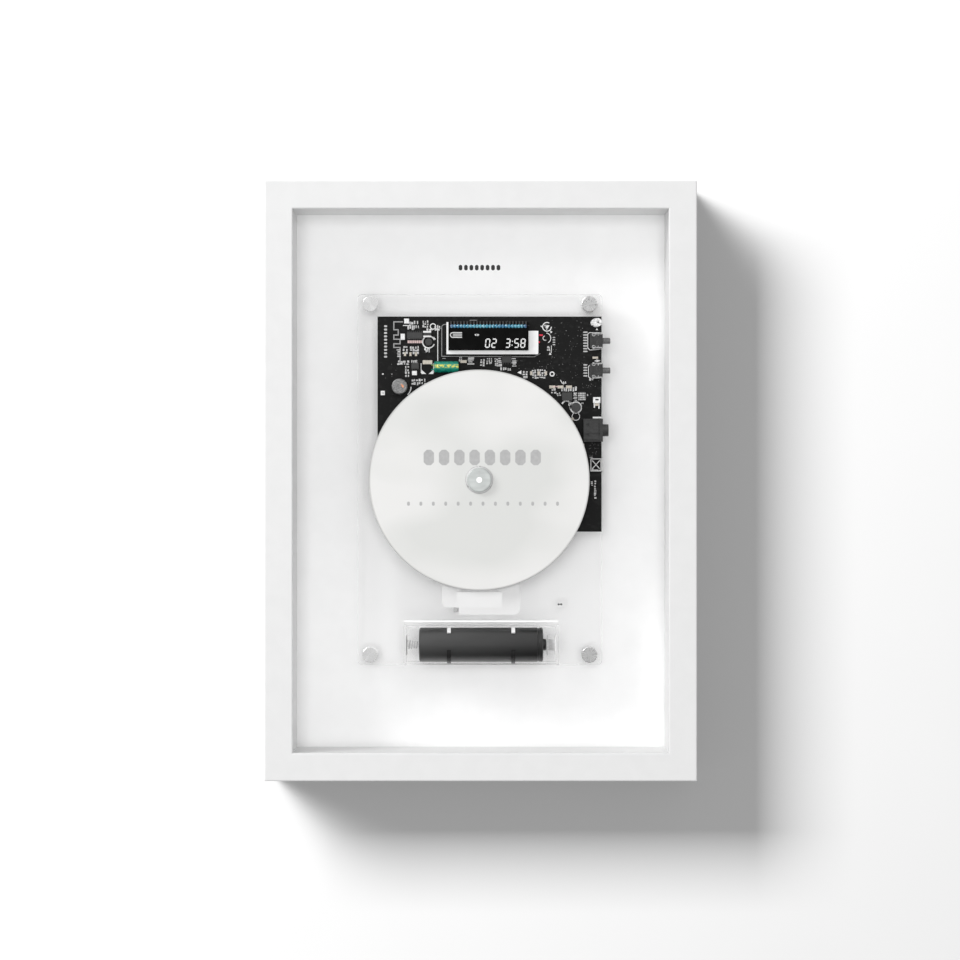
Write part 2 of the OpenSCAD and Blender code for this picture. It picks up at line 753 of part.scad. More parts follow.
module can_capacitor() color("gainsboro") on_wall() on_pcb(can_cap_at[0], can_cap_at[1]) {
    difference() {
        slab(8.8, 8.8, 0.9, 1.2);
        translate([0, 0, 0.6]) cylinder(r = 4.3, h = cut);
    }
    translate([0, 0, 0.6]) rotate_extrude() polygon([
        [0, 0], [4, 0], [4.2, 0.4], [4.2, 1.3], [4, 1.6], [4.2, 1.9], [4.2, 6.7], [3.8, 7.1], [0, 7.1]
    ]);
}

// Moulded package with a row of leads on two sides
module leaded_chip(w, h, t, leads) {
    translate([-w / 2, -h / 2, 0.1]) cube([w, h, t]);
    step = w / leads;
    for (s = [-1, 1], i = [0:leads - 1])
        translate([-w / 2 + (i + 0.5) * step - step * 0.2, s > 0 ? h / 2 : -h / 2 - 0.9, 0])
            cube([step * 0.4, 0.9, t * 0.4]);
}

// Places are right and down from the circuit board's top left corner, then width, height, leads
chip_list = [
    [20.35, 10.4, 8.5, 3.4, 8], [20.5, 27.0, 4, 3, 4], [-18.8, 43.7, 5.5, 4.2, 5],
    [70.7, 23.4, 5.2, 3.6, 4], [66, 46, 8, 5, 8], [29, 56, 7, 5, 8]];

chip_t = 1.2;

// Main chip, with leads on all four sides
main_chip_at = [46, 48];
main_chip_w = 14;
main_chip_t = 1.4;
main_chip_leads = 12;

// Shielded coil, and the two round parts as [right, down, radius, height]
coil_at = [-10.8, 43.7];
coil_size = [4.6, 4.9, 2.4];
coil_corner_r = 0.8;
round_parts = [[27.9, 13.9, 1.9, 1.6], [-14, 49.7, 2.6, 2.8]];

module chips() color("#26272a") on_wall() {
    for (c = chip_list) on_pcb(c[0], c[1]) leaded_chip(c[2], c[3], chip_t, c[4]);
    on_pcb(main_chip_at[0], main_chip_at[1]) for (a = [0, 90]) rotate([0, 0, a])
        leaded_chip(main_chip_w, main_chip_w, main_chip_t, main_chip_leads);
    on_pcb(coil_at[0], coil_at[1])
        slab(coil_size[0], coil_size[1], coil_size[2], coil_corner_r, 2);
    for (p = round_parts) on_pcb(p[0], p[1]) cylinder(r = p[2], h = p[3]);
}

// Two-terminal parts: right, down, length, width, turn
part_list = [
    [27.3, 25, 5.2, 2.2, 0], [47, 24.6, 3.4, 1.6, 0], [-38.4, 31, 2, 1.3, 90],
    [-34.4, 31, 2, 1.3, 90], [-30.4, 31, 2, 1.3, 90], [-26.9, 38.5, 3.2, 1.6, 0],
    [-22.4, 38.5, 3.2, 1.6, 0], [-17.8, 38.5, 3.2, 1.6, 0], [-2.5, 47, 3.6, 2, 90],
    [-3.4, 22.5, 3, 1.2, 0], [3, 41.8, 2, 1.6, 0], [15, 20.6, 2, 1.2, 90],
    [18, 20.6, 2, 1.2, 90], [21, 20.6, 2, 1.2, 90], [-37.4, 49, 2.4, 1.4, 0],
    [-26.4, 49.5, 2.4, 1.4, 90], [-16.4, 56, 2.4, 1.4, 0], [-10.4, 70, 2, 1.2, 0],
    [-10.4, 74, 2, 1.2, 0], [-21.4, 84, 2, 1.2, 90]];
part_end_h = 0.75;
part_body_h = 0.65;
part_body_side = 0.05;

module chip_parts() color("peru") on_wall() for (p = part_list)
    on_pcb(p[0], p[1]) rotate([0, 0, p[4]]) {
        translate([-p[2] / 2, -p[3] / 2, 0]) cube([p[2] * 0.24, p[3], part_end_h]);
        translate([p[2] * 0.26, -p[3] / 2, 0]) cube([p[2] * 0.24, p[3], part_end_h]);
        translate([-p[2] * 0.26, -p[3] / 2 + part_body_side, part_body_side])
            cube([p[2] * 0.52, p[3] - 2 * part_body_side, part_body_h]);
    }

// ---------- mechanism ----------

module motor_screw_room() for (a = [0, 180]) rotate([0, 0, a])
    translate([motor_screw_at, 0, 0]) children();

module deck_outline() polygon([
    [-deck_left, deck_up - 2], [-deck_left + 2, deck_up], [deck_right - 2, deck_up],
    [deck_right, deck_up - 2], [deck_right, -deck_down + 2], [deck_right - 2, -deck_down],
    [-deck_left + 9, -deck_down], [-deck_left + 9, -deck_down + 4], [-deck_left + 2, -deck_down + 4],
    [-deck_left, -deck_down + 6]]);

// The deck is a shallow tray: a plate with walls round its edge and a window for the lens
module deck_shell() difference() {
    translate([0, 0, deck_foot]) linear_extrude(deck_wall_h) deck_outline();
    translate([-deck_left + deck_wall, -deck_down + deck_wall + 4, deck_foot - cut])
        cube([9, deck_up + deck_down - 2 * deck_wall - 4, deck_wall_h - deck_t + cut]);
    translate([-deck_left + deck_wall + 9, -deck_down + deck_wall, deck_foot - cut])
        cube([deck_left + deck_right - 2 * deck_wall - 9, deck_up + deck_down - 2 * deck_wall,
            deck_wall_h - deck_t + cut]);
}

// Low shelf beside the deck for the sled motor and the gears
module wing() translate([sled_motor_x, sled_motor_y, deck_foot]) linear_extrude(wing_t) {
    r = motor_r + 1.2;
    intersection() {
        circle(r = r);
        translate([-2 * r, -2 * r]) square([2 * r, 4 * r]);
    }
    translate([0, -r]) square([-deck_left + deck_wall - sled_motor_x, 2 * r]);
}

module rod_support(side)
    translate([side * rod_x - rod_support_w / 2, -rod_top - rod_end_gap - rod_support_l, deck_foot])
        cube([rod_support_w, rod_support_l, deck_wall_h - deck_t]);

module lug(side) for (y = lug_ys) translate([side, y, lug_back]) linear_extrude(lug_t) {
    circle(r = lug_r);
    translate([side > 0 ? -lug_out - 0.5 : 0, -lug_r * 0.8]) square([lug_out + 0.5, lug_r * 1.6]);
}

// Bridge over the outer end of the lens window, clear of the lens at its highest
bridge_t = 1;
bridge_side = 2;
bridge_from = disc_r + 1;
bridge_to = deck_down - 4;
bridge_front = deck_front + 3.4;

module window_bridge() translate([0, -bridge_to, deck_front]) difference() {
    translate([-window_half - bridge_side, 0, 0])
        cube([2 * (window_half + bridge_side), bridge_to - bridge_from, bridge_front - deck_front]);
    translate([-window_half, -cut, -cut])
        cube([2 * window_half, bridge_to - bridge_from + 2 * cut,
            bridge_front - bridge_t - deck_front + cut]);
}

module mech_chassis() color("white") on_wall() at_spindle() {
    window_bridge();
    chassis_body();
}

module chassis_body() difference() {
    union() {
        deck_shell();
        wing();
        rod_support(-1);
        rod_support(1);
        lug(-deck_left - lug_out);
        lug(deck_right + lug_out);
    }
    // Lens window
    translate([-window_half, -deck_down + 4.5, deck_back - cut])
        cube([2 * window_half, deck_down - 4.5 - 12.8, deck_t + 2 * cut]);
    // Room for the gears over the wing
    translate([gear_x, gear_y, wing_front])
        cylinder(r = wheel_pitch_r + gear_module + 0.6, h = deck_wall_h);
    // Spindle and sled motor seats
    for (p = [[0, 0, deck_back, 0], [sled_motor_x, sled_motor_y, deck_foot, sled_motor_turn]])
        translate([p[0], p[1], p[2] - cut]) rotate([0, 0, p[3]]) {
            cylinder(r = boss_r + boss_gap, h = deck_t + 2 * cut);
            motor_screw_room() cylinder(r = motor_screw_r + 3 * fit, h = deck_t + 2 * cut);
        }
    // Gear axle, rods and dampers
    translate([gear_x, gear_y, deck_foot - cut]) cylinder(r = shaft_r + fit, h = wing_t + 2 * cut);
    for (s = [-1, 1]) translate([s * rod_x, -rod_top, rod_z]) rotate([90, 0, 0])
        cylinder(r = rod_r + fit, h = deck_down - rod_top - deck_wall / 2);
    for (x = [-deck_left - lug_out, deck_right + lug_out], y = lug_ys) {
        translate([x, y, lug_back - cut]) cylinder(r = grommet_neck_r + grommet_gap, h = lug_t + 2 * cut);
        translate([x, y, deck_foot - cut]) cylinder(r = grommet_r + 0.3, h = lug_back - deck_foot + cut);
        translate([x, y, lug_back + lug_t]) cylinder(r = grommet_r + 0.3, h = deck_wall_h);
    }
}

module damper_grommets() color("#202122") on_wall() at_dampers() translate([0, 0, plate_front])
    rotate_extrude() polygon([
        [screw_m3_r + grommet_gap, 0], [grommet_r, 0], [grommet_r, lug_back - plate_front],
        [grommet_neck_r, lug_back - plate_front],
        [grommet_neck_r, lug_back - plate_front + lug_t],
        [grommet_r, lug_back - plate_front + lug_t],
        [grommet_r - grommet_bevel, grommet_h], [screw_m3_r + grommet_gap, grommet_h]]);

module damper_screws() color("silver") on_wall() at_dampers()
    translate([0, 0, plate_front + grommet_h + screw_head_h])
        screw(3.2, screw_head_h, screw_m3_r, screw_head_h + grommet_h + plate_t + 1);

module guide_rods() color("lightgray") on_wall() at_spindle() for (s = [-1, 1])
    translate([s * rod_x, -rod_top - rod_end_gap, rod_z]) rotate([90, 0, 0])
        cylinder(r = rod_r, h = deck_down - rod_top - deck_wall / 2 - 1.5 * rod_end_gap);

// Motor with its mounting face at z = 0 and its can towards -z
module motor() difference() {
    union() {
        translate([0, 0, -motor_l]) rotate_extrude() polygon([
            [0, 0], [motor_r - 2.5, 0], [motor_r - 2.5, 0.8], [motor_r - 0.6, 0.8], [motor_r, 1.4],
            [motor_r, motor_l - 0.4], [motor_r - 0.4, motor_l], [boss_r, motor_l],
            [boss_r, motor_l + boss_h], [0, motor_l + boss_h]]);
        for (s = [-1, 1]) translate([s * 4 - 0.8, -motor_r + 3, -motor_l - 1.2])
            cube([1.6, 0.4, 2]);
    }
    translate([0, 0, -3]) cylinder(r = shaft_r + fit, h = 3 + boss_h + cut);
    motor_screw_room() translate([0, 0, -motor_screw_in - 0.4])
        cylinder(r = motor_screw_r + fit, h = motor_screw_in + 0.4 + cut);
}

module spindle_motor() color("silver") on_wall() at_spindle() translate([0, 0, deck_back]) motor();

module sled_motor() color("silver") on_wall() at_spindle()
    translate([sled_motor_x, sled_motor_y, deck_foot]) rotate([0, 0, sled_motor_turn]) motor();

module motor_screws() color("silver") on_wall() at_spindle()
    for (p = [[0, 0, deck_front, 0], [sled_motor_x, sled_motor_y, wing_front, sled_motor_turn]])
        translate([p[0], p[1], p[2] + motor_screw_head_h]) rotate([0, 0, p[3]]) motor_screw_room()
            screw(motor_screw_head_r, motor_screw_head_h, motor_screw_r,
                motor_screw_head_h + deck_t + motor_screw_in);

module gear_axle() color("lightgray") on_wall() at_spindle() translate([gear_x, gear_y, deck_foot]) {
    cylinder(r = shaft_r, h = wheel_front - deck_foot + 0.6);
    translate([0, 0, wheel_front - deck_foot + 0.1]) cylinder(r = shaft_r + 0.8, h = 0.5);
}

module drive_gear() color("ivory") on_wall() at_spindle() translate([gear_x, gear_y, 0]) difference() {
    union() {
        translate([0, 0, wing_front + 0.2])
            gear(rack_pinion_teeth, wheel_back - wing_front - 0.2, shaft_r + fit);
        // Turned so that a tooth of the large gear points at the motor's pinion
        translate([0, 0, wheel_back]) rotate([0, 0, train_angle])
            gear(wheel_teeth, wheel_t, shaft_r + fit);
    }
    // Web of the large gear, thinned between its hub and rim
    translate([0, 0, wheel_back + wheel_t * 0.6]) difference() {
        cylinder(r = wheel_pitch_r - 2, h = wheel_t);
        translate([0, 0, -cut]) cylinder(r = shaft_r + 1.2, h = wheel_t + 2 * cut);
    }
    for (a = [0:72:359]) rotate([0, 0, a])
        translate([wheel_pitch_r * 0.53, 0, wheel_back + wheel_t * 0.3])
            cylinder(r = wheel_pitch_r * 0.14, h = wheel_t);
}

module motor_pinion() color("gold") on_wall() at_spindle()
    translate([sled_motor_x, sled_motor_y, 0]) {
        translate([0, 0, wheel_back - 0.4]) rotate([0, 0, train_angle + 180 + 180 / pinion_teeth])
            gear(pinion_teeth, wheel_t + 0.8, shaft_r - 0.2);
        translate([0, 0, deck_foot - shaft_in])
            cylinder(r = shaft_r, h = wheel_front + 0.8 - deck_foot + shaft_in);
    }

// Moves with the lens: drawn with the lens nearest the spindle
module at_sled() at_spindle() translate([0, -lens_inner, 0]) children();

module sled_body() color("#2b2c30") on_wall() at_sled() difference() {
    union() {
        translate([0, 0, sled_back]) linear_extrude(sled_front - sled_back) polygon([
            [-sled_half, -sled_down + 2], [-sled_half + 2, -sled_down], [sled_half - 2, -sled_down],
            [sled_half, -sled_down + 2], [sled_half, sled_up - 1], [sled_half - 1, sled_up],
            [-sled_half + 1, sled_up], [-sled_half, sled_up - 1]]);
        translate([-flange_half, -sled_down, sled_back])
            cube([flange_half, sled_up + sled_down - 0.4, sled_shoulder - sled_back]);
        translate([0, -5, sled_back]) cube([flange_half, 9, sled_shoulder - sled_back]);
    }
    // Pocket of the lens
    translate([-pocket_half, -pocket_half, lens_pocket_floor])
        cube([2 * pocket_half, 2 * pocket_half, deck_wall_h * 2]);
    translate([0, 0, sled_back + 1]) cylinder(r = 4, h = deck_wall_h);
    // Bearing on the left rod and fork on the right one
    translate([-rod_x, -sled_down - cut, rod_z]) rotate([-90, 0, 0])
        cylinder(r = rod_r + fit, h = sled_up + sled_down + 2 * cut);
    translate([rod_x - rod_r - 0.15, -5 - cut, rod_z - rod_r - fit])
        cube([flange_half, 9 + 2 * cut, 2 * (rod_r + fit)]);
    // Relief on the bearing between its two ends
    translate([-flange_half - cut, -sled_down + 5, sled_back - cut])
        cube([flange_half - sled_half, sled_up + sled_down - 10.4, rod_z - rod_r - 0.8 - sled_back + cut]);
}

module sled_rack() color("ivory") on_wall() at_sled() translate([0, 0, rack_back])
    linear_extrude(rack_t) rack_profile(-rack_down, rack_up, gear_y + lens_inner);

module lens_holder() color("#1a1a1c") on_wall() at_sled() difference() {
    translate([0, 0, lens_pocket_floor + focus_travel + 0.3])
        slab(2 * holder_half, 2 * holder_half, 4.0, 1.2);
    translate([0, 0, lens_pocket_floor]) cylinder(r = 2.6, h = deck_wall_h);
    for (s = [-1, 1]) translate([s * 5.2 - 0.9, -4, lens_pocket_floor + focus_travel + 2])
        cube([1.8, 8, deck_wall_h]);
}

lens_r = 2.5;
lens_rim = lens_pocket_floor + focus_travel + 0.3 + 2.6;

module objective_lens() color("lightsteelblue", 0.5) on_wall() at_sled() translate([0, 0, lens_rim])
    rotate_extrude() polygon(concat([[0, -0.6], [lens_r, -0.6], [lens_r, 0.4]],
        [for (i = [1:8]) let (a = 90 * i / 8) [lens_r * 0.92 * cos(a), 0.4 + 1.5 * sin(a)]]));

// ---------- spindle and disc ----------

hub_r = disc_hole_r - hub_gap;
pad_h = 0.5;
chuck_ball_r = 0.7;

// Balls in the nose, just above the disc
module at_chuck_balls() for (a = [90:120:359]) rotate([0, 0, a])
    translate([hub_r - chuck_ball_r, 0, disc_front + 0.2]) children();

module spindle_shaft() color("lightgray") on_wall() at_spindle()
    translate([0, 0, deck_back - shaft_in])
        cylinder(r = shaft_r, h = disc_back + hub_h - 0.6 - deck_back + shaft_in);

module turntable() color("#d8d9da") on_wall() at_spindle() difference() {
    rotate_extrude() polygon([
        [shaft_r, deck_front + 1.4], [4.2, deck_front + 1.4], [4.2, disc_back - 2.2],
        [turntable_r - 1, disc_back - 2.2], [turntable_r, disc_back - 1.4],
        [turntable_r, disc_back - pad_h], [hub_r, disc_back - pad_h], [hub_r, disc_front + 0.4],
        [hub_r - 0.8, disc_front + 1.2], [shaft_r, disc_front + 1.2]]);
    // Seats of the three chuck balls
    at_chuck_balls() rotate([0, 90, 0]) translate([0, 0, -chuck_ball_r - 0.6])
        cylinder(r = chuck_ball_r + fit, h = 4 * chuck_ball_r);
}

module turntable_pad() color("#3c3d40") on_wall() at_spindle() translate([0, 0, disc_back - pad_h])
    bored(turntable_r - 0.5, hub_r + 1.6, pad_h);

module hub_cap() color("lightgray", 0.6) on_wall() at_spindle()
    translate([0, 0, disc_back + disc_t + 1.2]) rotate_extrude() polygon(concat(
        [[shaft_r + 0.1, 0], [hub_r - 0.8, 0]],
        arc(hub_r - 1.5, 0.3, 0.7, 0, 80, 5),
        [[1.8, hub_h - disc_t - 1.2], [shaft_r + 0.1, hub_h - disc_t - 1.2]]));

module chuck_balls() color("silver") on_wall() at_spindle()
    at_chuck_balls() sphere(r = chuck_ball_r);

module disc() color("#f0f0ee") on_wall() at_spindle() translate([0, 0, disc_back])
    rotate_extrude() polygon([
        [disc_hole_r, 0], [disc_r - 0.2, 0], [disc_r, 0.2], [disc_r, disc_t - 0.2],
        [disc_r - 0.2, disc_t], [disc_hole_r, disc_t]]);

// ---------- battery ----------

module at_cell() translate([cell_x, cell_y, cell_z]) children();

half_l = cell_l / 2;
holder_in = half_l + contact_room;
end_wall_h = cell_z + 5 - plate_front;

module battery_holder() color("lightcyan", 0.4) on_wall() translate([cell_x, cell_y, plate_front])
    difference() {
        union() {
            translate([-holder_in - holder_wall, -trough_half - holder_wall, 0])
                cube([2 * (holder_in + holder_wall), 2 * (trough_half + holder_wall), holder_floor]);
            for (s = [0, 1]) mirror([0, s, 0]) translate([-holder_in - holder_wall, trough_half, 0])
                cube([2 * (holder_in + holder_wall), holder_wall, cell_z - plate_front]);
            for (s = [0, 1]) mirror([s, 0, 0]) translate([holder_in, -trough_half - holder_wall, 0])
                cube([holder_wall, 2 * (trough_half + holder_wall), end_wall_h]);
            translate([-holder_in - holder_wall, trough_half + holder_wall, 0])
                cube([2 * (holder_in + holder_wall), ledge_w, 1.5]);
        }
        for (s = [-1, 1]) translate([s * clip_span * 0.8, 0, -cut])
            cylinder(r = wood_screw_r + 0.2, h = holder_floor + 2 * cut);
        for (s = [-1, 1]) translate([s * clip_span * 0.8, 0, holder_floor - 0.9])
            cylinder(r1 = wood_screw_r + 0.2, r2 = 2.2, h = 0.91);
    }

module holder_screws() color("silver") on_wall() at_holder_screws()
    translate([0, 0, plate_front + holder_floor - fit])
        screw(holder_screw_head_r, holder_screw_head_h, wood_screw_r,
            holder_floor + plate_t - holder_screw_short, true);

// One pair of arms: sectors that follow the cell, standing on the holder's side walls
module clip_arms() rotate([0, 90, 0]) translate([0, 0, -clip_w / 2])
    for (a = [[90, 137], [195, 270]])
        rotate([0, 0, a[0]]) rotate_extrude(angle = a[1] - a[0])
            translate([cell_r + cell_gap, 0]) square([clip_t, clip_w]);

module battery_clips() color("white", 0.6) on_wall() at_cell()
    for (s = [-1, 1]) translate([s * clip_span / 2, 0, 0]) clip_arms();

spring_l = contact_room - 0.9;
spring_r = 2.45;

function turn_point(a, l, r) = [l * a / (360 * spring_turns), r * cos(a), r * sin(a)];

module coil_spring(l, r, wire) {
    rings = 8 * spring_turns;
    sides = 6;
    mid = [for (i = [0:rings])
        turn_point(360 * spring_turns * i / rings, l, r * (1 - 0.3 * i / rings))];
    pts = [for (i = [0:rings]) let (a = 360 * spring_turns * i / rings)
        for (k = [0:sides - 1]) let (b = 360 * k / sides)
            mid[i] + wire * [cos(b), sin(b) * cos(a), sin(b) * sin(a)]];
    side_faces = [for (i = [0:rings - 1], k = [0:sides - 1]) let (
            n = (k + 1) % sides, p = i * sides + k, q = i * sides + n)
        each [[p, q + sides, q], [p, p + sides, q + sides]]];
    caps = concat([for (k = [1:sides - 2]) [0, k, k + 1]],
        [for (k = [1:sides - 2]) let (e = rings * sides) [e, e + k + 1, e + k]]);
    polyhedron(points = pts, faces = concat(side_faces, caps), convexity = 10);
}

echo(least_gap_between_spring_turns = (spring_l - 0.6) / spring_turns - 2 * spring_wire_r);

module spring_contact() color("lightgray") on_wall() at_cell() {
    translate([-holder_in, -5.5, -6]) cube([0.4, 11, 12]);
    translate([-holder_in + 0.4 + spring_wire_r, 0, 0])
        coil_spring(spring_l - 0.6, spring_r, spring_wire_r);
}

module leaf_contact() color("lightgray") on_wall() at_cell() {
    translate([holder_in - 0.4, -5.5, -6]) cube([0.4, 11, 12]);
    translate([half_l + cell_button_l + 0.1, 0, 0]) rotate([90, 0, 0])
        translate([0, 0, -3]) linear_extrude(6) polygon([
            [0, -1.5], [0, 1.5], [0.4, 1.5], [0.6, 0.6], [holder_in - half_l - cell_button_l - 0.5, 5.8],
            [holder_in - half_l - cell_button_l - 0.5, 5.2], [0.9, 0], [0.4, -1.5]]);
}

module battery_cell() color("#2a2b2e") on_wall() at_cell() rotate([0, 90, 0])
    translate([0, 0, -half_l]) rotate_extrude() polygon([
        [0, 0], [cell_r - 0.8, 0], [cell_r, 0.6], [cell_r, cell_l - 3.2], [cell_r - 0.35, cell_l - 2.8],
        [cell_r - 0.35, cell_l - 2.2], [cell_r, cell_l - 1.8], [cell_r, cell_l - 0.6],
        [cell_r - 0.8, cell_l], [cell_button_r, cell_l], [cell_button_r, cell_l + cell_button_l - 0.3],
        [cell_button_r - 0.3, cell_l + cell_button_l], [0, cell_l + cell_button_l]]);

module wire_grommet() color("#202122") on_wall()
    translate([cell_x + grommet_dx, cell_y + grommet_dy - cell_up, 0]) difference() {
        union() {
            translate([0, 0, plate_front]) slab(4.4, 3.2, 0.8, 1.4);
            translate([0, 0, plate_back]) slab(3.3, 2.1, plate_t, 1);
        }
        for (s = [-1, 1]) translate([s * 0.85, 0, plate_back - cut]) cylinder(r = 0.5, h = plate_t + 3);
    }

// ---------- build ----------

frame_rail_top();
frame_rail_bottom();
frame_rail_left();
frame_rail_right();
corner_v_nails();
back_board();
board_screws();
keyhole_hangers();
hanger_screws();
standoff_posts();
standoff_screws();
standoff_caps();
acrylic_plate();
circuit_board();
board_spacers();
circuit_board_screws();
lcd_backlight();
lcd_glass();
lcd_pins();
power_switch_body();
power_button();
function_switch_body();
function_button();
headphone_jack();
charging_port();
lying_capacitor();
can_capacitor();
chips();
chip_parts();
mech_chassis();
damper_grommets();
damper_screws();
guide_rods();
motor_screws();
spindle_motor();
spindle_shaft();
turntable();
turntable_pad();
hub_cap();
chuck_balls();
disc();
sled_motor();
motor_pinion();
gear_axle();
drive_gear();
sled_body();
sled_rack();
lens_holder();
objective_lens();
battery_holder();
holder_screws();
battery_clips();
spring_contact();
leaf_contact();
battery_cell();
wire_grommet();
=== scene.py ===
"""Looks of a wall mounted disc player: a white shadow box with a clear plate on four standoffs.

The plate carries a circuit board with its display, a bare disc on its spindle and a battery cell.
Lengths are in millimetres in the helpers and in metres in Blender, in the frame of the CAD part:
x to the right, z up and -y out of the wall, with z = 0 at the two hanger entries.
"""
import json
import math
import random

import bmesh
import bpy
from mathutils import Matrix, Vector


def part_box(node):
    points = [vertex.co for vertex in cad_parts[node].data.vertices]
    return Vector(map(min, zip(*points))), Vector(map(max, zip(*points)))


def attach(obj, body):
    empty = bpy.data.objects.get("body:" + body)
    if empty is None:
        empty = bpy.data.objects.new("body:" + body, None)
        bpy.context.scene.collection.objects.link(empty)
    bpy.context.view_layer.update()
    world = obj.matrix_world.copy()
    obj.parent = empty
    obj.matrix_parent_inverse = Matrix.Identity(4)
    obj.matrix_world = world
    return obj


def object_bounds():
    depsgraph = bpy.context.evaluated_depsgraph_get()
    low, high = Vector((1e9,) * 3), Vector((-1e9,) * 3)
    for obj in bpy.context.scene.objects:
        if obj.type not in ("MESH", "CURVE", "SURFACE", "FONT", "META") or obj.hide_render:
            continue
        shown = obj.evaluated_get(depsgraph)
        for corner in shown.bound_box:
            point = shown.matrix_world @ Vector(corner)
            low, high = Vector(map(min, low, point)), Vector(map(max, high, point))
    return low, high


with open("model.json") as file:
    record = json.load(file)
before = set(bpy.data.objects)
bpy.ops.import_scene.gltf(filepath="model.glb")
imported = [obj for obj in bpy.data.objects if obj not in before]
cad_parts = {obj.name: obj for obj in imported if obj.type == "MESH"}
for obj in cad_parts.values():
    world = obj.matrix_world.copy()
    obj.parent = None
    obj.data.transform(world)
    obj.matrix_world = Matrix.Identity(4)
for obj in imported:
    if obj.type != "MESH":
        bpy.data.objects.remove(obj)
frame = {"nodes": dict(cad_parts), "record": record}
nodes = frame["nodes"]
cad_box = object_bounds()

MM = 0.001
BODY = "player"

# ---------- places taken from the frame ----------


class Face:
    """A front face of a CAD node: points on it are right of its left edge and below its top, in mm."""

    def __init__(self, node):
        low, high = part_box(node)
        self.left, self.top, self.front = low.x / MM, high.z / MM, low.y / MM
        self.width, self.height = (high.x - low.x) / MM, (high.z - low.z) / MM

    def at(self, right, down, lift=0.0):
        """A point that stands `lift` mm proud of the face, in metres."""
        return Vector((self.left + right, self.front - lift, self.top - down)) * MM


board = Face("circuit_board")
display = Face("lcd_glass")
rear = Face("back_board")
record_disc = Face("disc")
hub = Face("hub_cap")
holder = Face("battery_holder")
jack = Face("headphone_jack")
screw_heads = Face("circuit_board_screws")
spring = Face("spring_contact")
leaf = Face("leaf_contact")
frame_centre = (cad_box[0] + cad_box[1]) / 2
front_y = cad_box[0].y

# ---------- material helpers ----------


def new_material(name, color, roughness, **sockets):
    """A Principled material. Constants sit on the shader's own sockets."""
    mat = bpy.data.materials.new(name)
    mat.use_nodes = True
    shader = mat.node_tree.nodes["Principled BSDF"]
    shader.inputs["Base Color"].default_value = (*color, 1.0)
    shader.inputs["Roughness"].default_value = roughness
    names = {"metallic": "Metallic", "coat": "Coat Weight", "coat_roughness": "Coat Roughness",
             "anisotropic": "Anisotropic", "emission": "Emission Strength",
             "specular": "Specular IOR Level"}
    for key, value in sockets.items():
        shader.inputs[names[key]].default_value = value
    return mat


def shader_of(mat):
    """The material's Principled shader."""
    return mat.node_tree.nodes["Principled BSDF"]


def add_node(mat, kind, **inputs):
    """A new shader node with constants for its inputs, by their names."""
    node = mat.node_tree.nodes.new(kind)
    for key, value in inputs.items():
        node.inputs[key].default_value = value
    return node


def link(mat, source, target):
    """Joins an output to an input."""
    mat.node_tree.links.new(source, target)


def paint(mat, color):
    """Joins an output to the base colour."""
    link(mat, color, shader_of(mat).inputs["Base Color"])


def mix_surface(mat, factor, first, second):
    """Makes a mix of two shaders the material's surface."""
    mix = add_node(mat, "ShaderNodeMixShader")
    for source, target in zip((factor, first, second), mix.inputs):
        link(mat, source, target)
    link(mat, mix.outputs[0], mat.node_tree.nodes["Material Output"].inputs["Surface"])


def feed(mat, value, target):
    """Joins a socket to an input, or sets the input to a plain value."""
    if isinstance(value, bpy.types.NodeSocket):
        link(mat, value, target)
    else:
        target.default_value = value


def calculate(mat, operation, *values):
    """Result of a Math node for sockets and plain numbers."""
    node = add_node(mat, "ShaderNodeMath")
    node.operation = operation
    for value, target in zip(values, node.inputs):
        feed(mat, value, target)
    return node.outputs[0]


def place(mat):
    """Coordinates in the frame, for textures that stay on the piece when it moves."""
    return add_node(mat, "ShaderNodeTexCoord").outputs["Object"]


def stretched_place(mat, stretch):
    """Coordinates in the frame, stretched."""
    mapping = add_node(mat, "ShaderNodeMapping", Scale=stretch)
    link(mat, place(mat), mapping.inputs["Vector"])
    return mapping.outputs["Vector"]


def noise(mat, size_mm, detail=3.0, stretch=(1, 1, 1)):
    """Noise whose blotches are about size_mm across."""
    node = add_node(mat, "ShaderNodeTexNoise", Scale=1000.0 / size_mm, Detail=detail)
    link(mat, stretched_place(mat, stretch), node.inputs["Vector"])
    return node.outputs["Fac"]


def mottle(mat, value, low, high, from_value=0.35, to_value=0.65):
    """Base colour that runs from low to high with a value."""
    ramp = add_node(mat, "ShaderNodeValToRGB")
    ramp.color_ramp.elements[0].position = from_value
    ramp.color_ramp.elements[1].position = to_value
    ramp.color_ramp.elements[0].color = (*low, 1.0)
    ramp.color_ramp.elements[1].color = (*high, 1.0)
    link(mat, value, ramp.inputs["Fac"])
    paint(mat, ramp.outputs["Color"])
    return ramp


def vary_roughness(mat, value, low, high):
    """Roughness that runs from low to high with a value."""
    spread = add_node(mat, "ShaderNodeMapRange")
    spread.inputs["To Min"].default_value = low
    spread.inputs["To Max"].default_value = high
    link(mat, value, spread.inputs["Value"])
    link(mat, spread.outputs["Result"], shader_of(mat).inputs["Roughness"])


def relief(mat, value, depth_mm, strength=1.0):
    """A bump of a given depth from a value."""
    bump = add_node(mat, "ShaderNodeBump", Strength=strength, Distance=depth_mm * MM)
    link(mat, value, bump.inputs["Height"])
    link(mat, bump.outputs["Normal"], shader_of(mat).inputs["Normal"])


def grey(level):
    """A neutral colour."""
    return (level, level, level)


